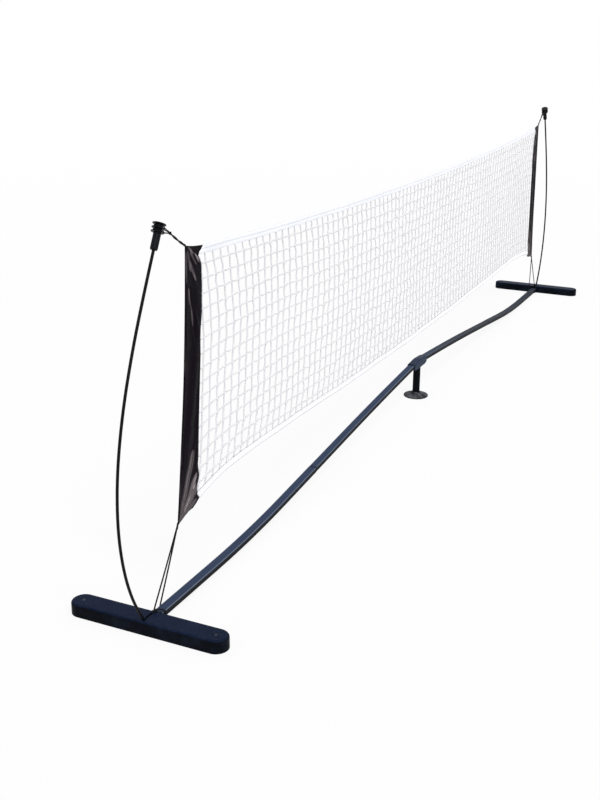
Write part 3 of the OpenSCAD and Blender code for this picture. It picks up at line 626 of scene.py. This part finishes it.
# Cords first: one tie from each sleeve's tip, one from its top corner, and the loops round the cap
tieSet = {
    "radius": 0.0019, "thin": 0.0016, "loopRadius": 0.0013, "sides": 8,
    "lean": (0.8, 0.35, 0.5), "loopLean": (0.45, 0.1, -0.9),
    "corner": (1.6623, 0.0, 0.8742), "tip": (1.7311, 0.0, 0.2097),
    "knot": (1.7238, 0.0, 0.9125),
    "capSide": (-0.88942, 0.0, -0.45710), "capAxis": (-0.45710, 0.0, 0.88942),
    "grooves": ((1.76802, 0.0, 0.93589), (1.77213, 0.0, 0.92789)),
    "grooveRadius": 0.01035,
    # The loops beside the cap: how far on they draw in, their half width there and at the knot
    "drawIn": 0.0175, "drawnHalf": 0.0062, "knotBack": 0.0036, "knotHalf": 0.0011,
    # The top tie's pair: its turns, how far off the middle in radii, and its sag; the lower bow
    "twist": 1.25, "apart": 0.8, "sag": 0.0012, "bow": 0.0016,
    "knotSize": 0.0060, "hitchSize": 0.0075,
    # Wraps: radius, turns and length, and how far along the cord their middle lies
    "topWrap": (0.0012, 2.5, 0.0064), "topWrapAt": 0.0026,
    "tipWrap": (0.0007, 4.5, 0.016), "tipWrapAt": 0.003, "tipDown": (0.35, 0.0, -1.0),
    # From the end of beamRoute
    "hitch": (0.001, 0, 0.0006), "hitchAxis": (1, 0.3, 0.1),
    "tail": ((0, 0, 0), (0.003, -0.001, 0.003), (0.008, -0.0015, 0.004), (0.014, 0.0015, 0.0015)),
    "slotRoute": ((1.851, 0, 0.0345), (1.8572, 0, 0.0296), (1.8672, 0, 0.0296), (1.882, 0, 0.0296)),
    "beamRoute": ((1.7960, 0.0149, 0.0258), (1.7985, 0.0149, 0.0205), (1.8005, 0.0149, 0.0125),
                  (1.8030, 0.0127, 0.0063), (1.8070, 0.0070, 0.0056), (1.8100, 0.0, 0.0056),
                  (1.8130, -0.0070, 0.0056), (1.8170, -0.0127, 0.0063), (1.8190, -0.0149, 0.0125),
                  (1.8210, -0.0149, 0.0205), (1.8238, -0.0149, 0.0264), (1.8290, -0.0127, 0.0313),
                  (1.8345, -0.0095, 0.0348), (1.8410, -0.0060, 0.0364), (1.8480, -0.0038, 0.0364)),
}
sides = {"left": -1, "right": 1}


def mirrored(points, side):
    # Side 1 is +X; side -1 is its mirror image
    return np.asarray(points, float) * np.array([side, 1, 1])


def squareTo(axis):
    # Two directions square to an axis and to each other
    first = unit(np.cross(axis, (0.3, 1, 0.1)))
    return first, np.cross(axis, first)


def coil(centre, axis, radius, turns, length, count):
    # A helix round an axis: centre + s axis + radius (cos, sin) round it
    axis = unit(np.asarray(axis, float))
    first, second = squareTo(axis)
    t = np.linspace(0, 1, count)[:, None]
    a = 2 * np.pi * turns * t
    return (np.asarray(centre) + (t - 0.5) * length * axis
            + radius * (np.cos(a) * first + np.sin(a) * second))


def overhand(centre, axis, size, count):
    # A trefoil: (sin t + 2 sin 2t, cos t - 2 cos 2t, -1.2 sin 3t) size / 6
    axis = unit(np.asarray(axis, float))
    first, second = squareTo(axis)
    t = np.linspace(0.15, 2 * np.pi - 0.15, count)[:, None]
    return np.asarray(centre) + size / 6 * (
        (np.sin(t) + 2 * np.sin(2 * t)) * first + (np.cos(t) - 2 * np.cos(2 * t)) * second
        - 1.2 * np.sin(3 * t) * axis)


def sameLength(paths, count):
    # Each path again with the same number of points, so that they make one mesh
    return np.stack([curveThrough(p, count) for p in paths])


def topTie(side, s):
    # Two thin cords twisted into one from the sleeve's corner to the knot, and the knot
    corner, knot = np.array(s["corner"]), np.array(s["knot"])
    run = unit(knot - corner)
    t = np.linspace(0, 1, 60)[:, None]
    first, second = np.array([0, 1, 0]), np.cross(run, (0, 1, 0))
    a = 2 * np.pi * s["twist"] * t
    offset = s["thin"] * s["apart"] * (np.cos(a) * first + np.sin(a) * second)
    sag = np.array([0, 0, -s["sag"]]) * np.sin(np.pi * t)
    middle = corner + t * (knot - corner) + sag
    wrap = coil(corner + s["topWrapAt"] * run, run, *s["topWrap"], 40)
    paths = [middle + offset, middle - offset, overhand(knot, run, s["knotSize"], 70), wrap]
    return mirrored(tubeRings(sameLength(paths, 90), s["thin"], s["sides"], s["lean"]), side)


def hungRoute(start, route, bow):
    # A first stretch that hangs below its chord by bow sin(pi t), then the route
    t = np.linspace(0, 1, 14)[1:-1, None]
    hang = np.array([0, 0, -bow]) * np.sin(np.pi * t)
    return np.concatenate([start[None], start + t * (route[0] - start) + hang, route])


def bottomTie(side, s):
    # From the tip one strand runs into the foot's slot and one turns round the beam, where it is
    # hitched to the first and leaves a tail
    tip, down = np.array(s["tip"]), unit(np.array(s["tipDown"]))
    slotRoute, beamRoute = np.array(s["slotRoute"]), np.array(s["beamRoute"])
    paths = [hungRoute(tip, slotRoute, s["bow"]), hungRoute(tip, beamRoute, s["bow"]),
             coil(tip + s["tipWrapAt"] * down, down, *s["tipWrap"], 100),
             overhand(beamRoute[-1] + np.array(s["hitch"]), s["hitchAxis"], s["hitchSize"], 70),
             np.array(s["tail"]) + beamRoute[-1]]
    return mirrored(tubeRings(sameLength(paths, 260), s["radius"], s["sides"], s["lean"]), side)


def loopRoute(s, k):
    # Round the back of groove k and along both sides of the cap to the knot
    centre, toKnot, axis = (np.array(v) for v in (s["grooves"][k], s["capSide"], s["capAxis"]))
    a = np.linspace(np.pi / 2, 3 * np.pi / 2, 15)[:, None]
    y = np.array([0.0, 1.0, 0.0])
    turn = centre + s["grooveRadius"] * (np.cos(a) * toKnot + np.sin(a) * y)
    off = [centre + s["drawIn"] * toKnot + e * s["drawnHalf"] * y for e in (1, -1)]
    meet = [np.array(s["knot"]) - s["knotBack"] * toKnot + e * s["knotHalf"] * y
            + (1 - 2 * k) * s["knotHalf"] * axis for e in (1, -1)]
    return np.concatenate([[meet[0], off[0]], turn, [off[1], meet[1]]])


def tieLoops(side, s):
    # One loop in each of the cap's two grooves
    paths = sameLength([loopRoute(s, k) for k in (0, 1)], 120)
    return mirrored(tubeRings(paths, s["loopRadius"], s["sides"], s["loopLean"]), side)


for name, side in sides.items():
    piece = ringMesh(f"{name}TopTie", topTie(side, tieSet), tieBraid)
    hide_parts(f"{name}_top_tie")
    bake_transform(piece)
    piece = ringMesh(f"{name}BottomTie", bottomTie(side, tieSet), tieBraid)
    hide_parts(f"{name}_bottom_tie")
    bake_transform(piece)
    piece = ringMesh(f"{name}TieLoops", tieLoops(side, tieSet), tieBraid)
    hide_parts(f"{name}_tie_loops")
    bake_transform(piece)
print("ties made")


netSet = {
    "topHalf": 1.588, "bottomHalf": 1.630, "top": 0.862, "sag": 0.034,
    "bottom": 0.244, "bottomRise": 0.040, "cornerDrop": 0.046, "tape": 0.020,
    "columns": 87, "cell": 0.0375, "rows": 16, "lowGap": 0.03, "rowStep": 0.0621,
    # How far the outer uprights stand in from plumb, in mm, at shares of their height
    "lean": ((0, -22), (0.06, -13), (0.12, -4), (0.28, 8), (0.5, 19), (0.64, 26), (0.8, 20),
             (0.93, 10), (1, 0)),
    "leanReach": 1.3,
    # How far the sleeve's edge lies beyond the net's end, in mm, at heights in mm
    "edgeOffs": ((238, -3), (243, 0), (249, 6.5), (268, 8), (280, 5), (292, -1), (300, -3),
                 (314, 0), (330, 2.5), (350, 0), (600, 1), (640, 4), (665, 4), (690, 1), (710, 0),
                 (770, 0), (800, 2), (820, 3), (826, 6), (834, 11), (842, 17), (848, 13),
                 (855, 2), (862, -6)),
    "twine": 0.0020, "knot": 1.45, "sides": 6,
    "billow": 0.004, "seed": 11,
    # Random steps of a crossing along and up, and across; slack is added inside slackReach
    "stray": 0.0012, "strayAcross": 0.0010, "slack": 0.0025, "slackReach": 1.2,
    "ripple": (0.0008, 0.0012), "rowPace": 1.9, "columnPace": 0.37,
    "calmEnds": 40, "calmEdges": 25,  # how steeply all of it fades, per metre and per share
}


def topLine(u):
    # The top edge sags by a parabola
    return netSet["top"] - netSet["sag"] * (1 - u * u)


def bottomLine(u):
    # The bottom edge rises as a parabola and is drawn down at its corners
    return netSet["bottom"] + netSet["bottomRise"] * u**2 - netSet["cornerDrop"] * np.abs(u) ** 10


def netHalf(z):
    # Half length at a height: it widens smoothly from the top edge to the bottom one
    t = (z - bottomLine(1.0)) / (topLine(1.0) - bottomLine(1.0))
    return netSet["bottomHalf"] - (netSet["bottomHalf"] - netSet["topHalf"]) * smooth(t)


def sleeveEdge(z):
    # Where a sleeve begins: the net's end, and the offset of its edge at that height
    heights, offs = np.array(netSet["edgeOffs"]).T / 1000
    return netHalf(z) + np.interp(z, heights, offs)


def netPoint(base, w):
    # base: where an upright meets the top tape; w: share of the height between the tapes.
    # x is base less the lean, which grows from the middle of the net to its ends and stops at
    # the sleeve; y is a slow billow, two sines along the net times one up it.
    s = netSet
    clear = topLine(1.0) - bottomLine(1.0) - 2 * s["tape"]
    half = sleeveEdge(bottomLine(1.0) + s["tape"] + w * clear)
    lean = np.interp(w, *np.array(s["lean"]).T) / 1000 * smooth(np.abs(base) / s["leanReach"])
    x = np.sign(base) * np.minimum(np.abs(base) - lean, half)
    u = x / half
    low, high = bottomLine(u) + s["tape"], topLine(u) - s["tape"]
    y = s["billow"] * np.sin(np.pi * w) * (np.sin(2.3 * np.pi * u + 0.6)
                                           + 0.5 * np.sin(6.1 * np.pi * u + 4 * w))
    return np.stack([x, y, low + w * (high - low)], -1)


def twineGrid(s):
    # Crossings and the points halfway, each strayed by a random step and a ripple, less so near
    # the edges; the outer columns are the sleeves' edges and the outer rows the tapes'
    dice = np.random.default_rng(s["seed"])
    base = (np.arange(s["columns"]) - (s["columns"] - 1) / 2) * s["cell"]
    base = np.r_[-2, base, 2]
    w = np.r_[0, s["lowGap"] + np.arange(s["rows"]) * s["rowStep"], 1]
    base = np.interp(np.arange(2 * len(base) - 1) / 2, np.arange(len(base)), base)
    w = np.interp(np.arange(2 * len(w) - 1) / 2, np.arange(len(w)), w)
    grid = netPoint(base[:, None], w[None, :])
    step = np.clip(dice.normal(0, 1, grid.shape), -2, 2)
    inside = smooth(s["slackReach"] - np.abs(base))[:, None]
    loose = s["stray"] + s["slack"] * inside
    step *= np.stack([loose, s["strayAcross"] + 0 * inside, loose], -1)
    step[1::2] *= 0.5
    step[:, 1::2] *= 0.5
    least, more = s["ripple"]
    step[..., 0] += (least + more * inside) * np.sin(np.arange(len(w)) * s["rowPace"]) * np.sin(
        np.arange(len(base)) * s["columnPace"])[:, None]
    ends = smooth((s["topHalf"] - np.abs(base)) * s["calmEnds"])[:, None]
    edges = smooth(w * s["calmEdges"]), smooth((1 - w) * s["calmEdges"])
    return grid + step * (ends * edges[0] * edges[1])[..., None]


def alongTwine(points, s):
    # Rings close on both sides of each crossing, where the twine swells into a knot
    path = refine(points, (0.0, 0.14, 0.86))
    swell = np.ones(path.shape[-2])
    swell[6::6] = s["knot"]  # a crossing is every second point, and a point has three rings
    swell[-1] = 1.0
    return tubeRings(path, s["twine"] * swell, s["sides"], (0, 1, 0))


grid = twineGrid(netSet)
uprights = grid[2:-2:2]  # the crossings' columns, from tape to tape
crossings = np.swapaxes(grid, 0, 1)[2:-2:2]
for name, points in (("netUprights", uprights), ("netCrossings", crossings)):
    piece = ringMesh(name, alongTwine(points, netSet), netTwine)
    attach(piece, "root")
    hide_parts("net_mesh")
print("net twine:", uprights.shape[0], "uprights,", crossings.shape[0], "crossings")


tapeSet = {
    "rings": 420, "halfPly": 0.0003, "overlap": 0.0012,
    "rope": 0.0017, "ropeDepth": 0.0028, "ropeRings": 240, "ropeSides": 8,
    # Half of the folded band's section in mm: depth below the fold, and half width there
    "depths": (18.6, 17.8, 16.6, 15.6, 13.6, 11.4, 9.6, 8.6, 7.6, 6.2, 4.6, 3.0, 1.4, 0.4, 0.0),
    "widths": (1.85, 1.75, 1.35, 1.7, 1.85, 1.75, 1.35, 1.1, 1.5, 2.2, 2.5, 2.4, 1.9, 1.0, 0.0),
    "stitchDepths": (0.0166, 0.0086), "stitch": 0.0052, "thread": 0.00032, "threadSides": 5,
}


def bandSection(s):
    # The folded cloth as a closed loop: outside down one side, inside back up, both offset
    # by half a ply from a line that runs over the fold
    depth, width = np.array(s["depths"]) / 1000, np.array(s["widths"]) / 1000
    y = np.concatenate([-width, width[-2::-1]])
    z = -np.concatenate([depth, depth[-2::-1]])
    line = np.stack([y, z], -1)
    slope = unit(np.gradient(line, axis=0))
    across = np.stack([-slope[:, 1], slope[:, 0]], -1)
    return np.concatenate([line + s["halfPly"] * across, (line - s["halfPly"] * across)[::-1]])


def edgeWave(u):
    # Sideways, in metres: 0.0012 sin 19u + 0.0007 sin(47u + 1)
    return 0.0012 * np.sin(19 * u) + 0.0007 * np.sin(47 * u + 1)


def edgeScallop(u, depth):
    # Upwards, in metres: 0.0009 sin 41u at the depth of the tape, and in proportion above it
    return 0.0009 * np.sin(41 * u) * depth / netSet["tape"]


def bandRings(s, edge, direction):
    # The section carried along an edge of the net: x from one sleeve's edge to the other's, a
    # little into each, a slow wave in y, calm at the ends, and a faint scallop
    section = bandSection(s)
    u = np.linspace(-1, 1, s["rings"])[:, None]
    half = sleeveEdge(edge(1.0) + direction * section[:, 1]) + s["overlap"]
    y = section[:, 0] + edgeWave(u) * smooth((1 - np.abs(u)) * netSet["calmEdges"])
    z = edge(u) + direction * section[:, 1] + edgeScallop(u, np.abs(section[:, 1]))
    return np.stack([u * half, y, z], -1)[None]


def stitchRings(s, edge, direction, depth):
    # A lockstitch: the thread swings through the band, so it shows on each side in turn
    long = 2 * netHalf(edge(1.0))
    count = int(4 * long / s["stitch"]) + 1
    u = np.linspace(-0.99, 0.99, count)
    swing = np.interp(depth, *(np.array(s[k])[::-1] / 1000 for k in ("depths", "widths")))
    y = (swing + s["halfPly"]) * np.sin(np.arange(count) * np.pi / 2 + 0.8) + edgeWave(u)
    z = edge(u) - direction * depth + edgeScallop(u, depth)
    path = np.stack([u * long / 2, y, z], -1)
    return tubeRings(path, s["thread"], s["threadSides"], (0.1, 0.2, 1))[None]


def ropeRings(s, edge, direction):
    # The rope inside the fold, which shows at both ends
    u = np.linspace(-1, 1, s["ropeRings"])
    path = np.stack([u * (sleeveEdge(edge(1.0)) + s["overlap"]), edgeWave(u),
                     edge(u) - direction * s["ropeDepth"]], -1)
    return tubeRings(path, s["rope"], s["ropeSides"], (0.1, 0.2, 1))[None]


for name, node, edge, direction, cloth in (
        ("topTape", "top_tape", topLine, 1, tapeCloth),
        ("bottomTape", "bottom_tape", bottomLine, -1, litLowTapeCloth)):
    band = ringMesh(name, bandRings(tapeSet, edge, direction), cloth)
    extras = [ringMesh(f"{name}Stitches{i}", stitchRings(tapeSet, edge, direction, depth),
                       whiteThread)
              for i, depth in enumerate(tapeSet["stitchDepths"], 1)]
    extras.append(ringMesh(f"{name}Rope", ropeRings(tapeSet, edge, direction), whiteThread))
    for piece in [band, *extras]:
        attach(piece, "root")
    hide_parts(node)
    2 * netHalf(edge(1.0))
print("tapes made")


sleeveSet = {
    "topWidth": 0.074, "tipReach": 0.101, "rise": 0.012, "tipHeight": 0.207, "edgeBow": 0.55,
    "halfPly": 0.0008, "hem": 0.0023, "hemWidth": 0.0075, "seam": 0.0012, "seamWidth": 0.014,
    "columns": 84, "rows": 300, "flat": (0.100, 0.665), "area": 0.0545,
    "corner": (1.662, 0.874), "tip": (1.731, 0.210),
    # Folds that fan out: degrees from the upright towards the net, start, end, width, height (mm)
    "cornerFolds": ((56, 4, 95, 5, 1.7), (43, 22, 92, 5, 1.0), (25, 18, 115, 6, 1.7),
                    (7.5, 85, 260, 7, 1.8), (14, 150, 330, 9, 1.2)),
    "tipFolds": ((70, 6, 60, 4, 0.9), (52, 8, 170, 9, 2.6), (33, 20, 120, 5, 0.9),
                 (26, 12, 240, 10, 2.6), (12, 30, 250, 6, 1.1)),
    "lowHem": ((0, 0), (0.15, 4), (0.3, 6), (0.47, 1), (0.68, -2), (1, 0)),  # share across, mm
    "height": 0.61, "endHem": 0.0012, "endHemDepth": 0.011, "rim": 0.0012, "mapLength": 0.64,
    "waveHeight": 0.0022, "rippleHeight": 0.0006, "topSag": 0.0016,
    "stitch": 0.0046, "thread": 0.00028, "threadSides": 5, "stitchLength": 0.62,
    # Metres from the net's edge, or less than 0 from the outer edge, and the stitch's phase
    "stitchLines": ((0.0125, 0.8), (0.0035, 2.0), (-0.0095, 0.4)),
}


def sleeveGrid(u, v, s):
    # Between the net's edge (u = 0) and the outer edge (u = 1), from the top (v = 0) down
    top, low = netSet["top"], bottomLine(1.0)
    z = top - (top - low) * v
    inner = np.stack([sleeveEdge(z), z], -1)
    share = (1 - v) * (1 + s["edgeBow"] * v)
    tipX, topX = netSet["bottomHalf"] + s["tipReach"], netSet["topHalf"] + s["topWidth"]
    topZ = top + s["rise"]
    outer = np.stack([tipX - (tipX - topX) * share, topZ - (topZ - s["tipHeight"]) * v], -1)
    flat = inner + u[..., None] * (outer - inner)
    drop = np.interp(u, *np.array(s["lowHem"]).T) / 1000
    flat[..., 1] -= drop * smooth((v - 0.9) / 0.1)
    return flat


def foldHeight(flat, origin, folds, upright):
    # Each fold is a rolled step, 1.6 q exp(-q^2) of height with q = off / width, along a ray, and
    # widens along it
    table = np.array(folds, float).T[:, :, None, None]
    angle, (start, end, width, height) = np.radians(table[0]), table[1:] / 1000
    rayX, rayZ = -np.sin(angle), upright * np.cos(angle)
    fromX, fromZ = flat[..., 0] - origin[0], flat[..., 1] - origin[1]
    along = fromX * rayX + fromZ * rayZ
    off = fromX * rayZ - fromZ * rayX
    q = off / (width * (0.35 + 0.65 * np.clip(along / end, 0, 1)))
    fade = smooth((along - start) / 0.03) * smooth((end - along) / (0.45 * (end - start)))
    return (1.6 * height * q * np.exp(-q * q) * fade).sum(axis=0)


def sleeveMiddle(u, v, s):
    # The flat grid with the folds, a slow wave and a fine ripple in y, all calm at both edges,
    # and a top edge that sags by a half sine
    flat = sleeveGrid(u, v, s)
    y = (foldHeight(flat, s["corner"], s["cornerFolds"], -1)
         + foldHeight(flat, s["tip"], s["tipFolds"], 1))
    slant = 1.4 * u + 0.35 * np.sin(5 * v) + 0.1
    y += s["waveHeight"] * np.sin(2 * np.pi * slant) * np.sin(np.pi * v)
    y += s["rippleHeight"] * np.sin(2 * np.pi * (9 * v + 0.8 * u)) * np.sin(np.pi * u)
    y *= smooth((u - 0.03) / 0.12) * smooth((1.02 - u) / 0.15)
    sag = s["topSag"] * np.sin(np.pi * u) * np.exp(-v / 0.02)
    return np.stack([flat[..., 0], y, flat[..., 1] - sag], -1)


def sleeveHalf(u, v, width, s):
    # Half thickness: the cloth's own, more in the corded hem, the seam and the hems at both ends
    fromOuter, fromInner = (1 - u) * width, u * width
    cord = s["hem"] * np.sqrt(np.clip(1 - (fromOuter / s["hemWidth"] * 2 - 1) ** 2, 0, 1))
    seam = s["seam"] * smooth((s["seamWidth"] - fromInner) / 0.002)
    down, up = v * s["height"], (1 - v) * s["height"]
    hem = s["endHem"] * smooth((s["endHemDepth"] - np.minimum(down, up)) / 0.0015)
    half = np.maximum(np.maximum(s["halfPly"], cord), np.maximum(seam, hem))
    rim = np.minimum(np.minimum(fromInner, np.minimum(down, up)), fromOuter)
    return half * (0.3 + 0.7 * np.sqrt(smooth(rim / s["rim"])))


def edgeSpaced(count, fine):
    # 0 to 1 with two close steps at each end
    inner = np.linspace(0, 1, count - 4)
    return np.sort(np.concatenate([inner, [fine, 2.5 * fine, 1 - 2.5 * fine, 1 - fine]]))


def sleeveStitch(side, s, at, phase):
    # Lockstitch along a line of constant distance from an edge
    count = int(4 * s["stitchLength"] / s["stitch"])
    v = np.linspace(0.004, 0.996, count)
    width = np.linalg.norm(np.diff(sleeveGrid(np.array([[0.0], [1.0]]), v[None], s), axis=0),
                           axis=-1)[0]
    u = at / width if at > 0 else 1 + at / width
    middle = sleeveMiddle(u[None], v[None], s)[0]
    swing = sleeveHalf(u, v, width, s) + 0.0001
    middle[:, 1] += swing * np.sin(np.arange(count) * np.pi / 2 + phase)
    return mirrored(tubeRings(middle, s["thread"], s["threadSides"], (1, 0.2, 0.1))[None], side)


for name, side in sides.items():
    s = sleeveSet
    u, v = np.meshgrid(edgeSpaced(s["columns"], 0.006), edgeSpaced(s["rows"], 0.0008),
                       indexing="ij")
    middle = sleeveMiddle(u, v, s)
    ends = sleeveGrid(np.array([[0.0], [1.0]]), v[:1], s)
    width = np.linalg.norm(ends[1] - ends[0], axis=-1)[None]
    uv = np.stack([u * width, v * s["mapLength"]], -1)
    cloth = shellMesh(f"{name}Sleeve", mirrored(middle, side), sleeveHalf(u, v, width, s), uv,
                      sleeveCloth)
    extras = [ringMesh(f"{name}SleeveStitches{i}", sleeveStitch(side, s, at, phase), darkThread)
              for i, (at, phase) in enumerate(s["stitchLines"], 1)]
    for piece in [cloth, *extras]:
        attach(piece, "root")
    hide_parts(f"{name}_sleeve")
print("sleeves made")


finishes = {
    "inner_beam": innerPaint, "outer_beam": outerPaint, "beam_spigot": spigotSteel,
    "foot": footPlastic, "foot_grips": gripRubber, "foot_screws": screwSteel,
    "rod": rodFibre, "rod_cap": capPlastic,
}
finishes = {f"{name}_{node}": m for name in sides for node, m in finishes.items()}
finishes |= {"centre_connector": connectorPlastic, "leg_tube": legPaint,
             "leg_plug": connectorPlastic, "foot_pad": padRubber}
for node, material in finishes.items():
    mesh = nodes[node].data
    mesh.materials.clear()
    mesh.materials.append(material)
print("frame parts finished:", len(finishes))


stageSet = {
    "sky": 0.6,
    # Strength, angle across in degrees, and the direction that it shines from
    "lamps": (("softSun", 1.55, 32, (-0.45, -0.55, 1.0)),
              ("frontLamp", 0.4, 12, (-0.6, -0.85, 0.3))),
    "lampDistance": 5,
    # The floor glows for direct rays by the share lift, and wholly beyond fadeTo
    "floor": tint(243, 243, 243), "lift": 0.86, "fadeFrom": 3.0, "fadeTo": 9.0, "size": 60.0,
}


def seenDirectly(tree):
    # 1 for camera, mirror and glass rays, 0 for the rays that carry light
    path = tree.nodes.new("ShaderNodeLightPath")
    seen = calc(tree, "ADD", path.outputs["Is Camera Ray"], path.outputs["Is Glossy Ray"])
    return calc(tree, "MINIMUM", calc(tree, "ADD", seen, path.outputs["Is Transmission Ray"]), 1.0)


def makeSky(s):
    # White, full for direct rays and dimmer for the light that it sheds
    world = bpy.data.worlds.new("studio")
    scene.world = world
    world.use_nodes = True
    tree = world.node_tree
    background = tree.nodes["Background"]
    plug(tree, background.inputs["Color"], (1, 1, 1, 1))
    plug(tree, background.inputs["Strength"], spread(tree, seenDirectly(tree), 0, 1, s["sky"], 1))


def makeFloor(s):
    # Matt white, so that shadows show, mixed with a glow that takes over far away
    half = s["size"] / 2
    mesh = bpy.data.meshes.new("floor")
    mesh.from_pydata([(-half, -half, 0), (half, -half, 0), (half, half, 0), (-half, half, 0)], [],
                     [(0, 1, 2, 3)])
    floor = bpy.data.objects.new("floor", mesh)
    scene.collection.objects.link(floor)
    material = bpy.data.materials.new("floorWhite")
    material.use_nodes = True
    tree = material.node_tree
    tree.nodes.remove(tree.nodes["Principled BSDF"])
    matt = tree.nodes.new("ShaderNodeBsdfDiffuse")
    matt.inputs["Color"].default_value = s["floor"]
    glow = tree.nodes.new("ShaderNodeEmission")
    glow.inputs["Strength"].default_value = 1.0
    blend = tree.nodes.new("ShaderNodeMixShader")
    distance = tree.nodes.new("ShaderNodeVectorMath")
    distance.operation = "LENGTH"
    plug(tree, distance.inputs[0], coords(tree))
    fade = spread(tree, distance.outputs["Value"], s["fadeFrom"], s["fadeTo"], s["lift"], 1.0)
    plug(tree, blend.inputs[0], times(tree, fade, seenDirectly(tree)))
    tree.links.new(matt.outputs[0], blend.inputs[1])
    tree.links.new(glow.outputs[0], blend.inputs[2])
    tree.links.new(blend.outputs[0], tree.nodes["Material Output"].inputs["Surface"])
    mesh.materials.append(material)


def makeLamp(name, energy, angle, origin, distance):
    sun = bpy.data.lights.new(name, "SUN")
    sun.energy = energy
    sun.angle = math.radians(angle)
    lamp = bpy.data.objects.new(name, sun)
    scene.collection.objects.link(lamp)
    back = unit(np.array(origin, float))
    first = unit(np.cross((0, 0, 1), back))
    turned = np.eye(4)
    turned[:3] = np.column_stack([first, np.cross(back, first), back, distance * back])
    lamp.matrix_world = Matrix(turned.tolist())


scene.view_settings.view_transform = "Standard"
makeSky(stageSet)
makeFloor(stageSet)
for lamp in stageSet["lamps"]:
    makeLamp(*lamp, stageSet["lampDistance"])
print("stage made")
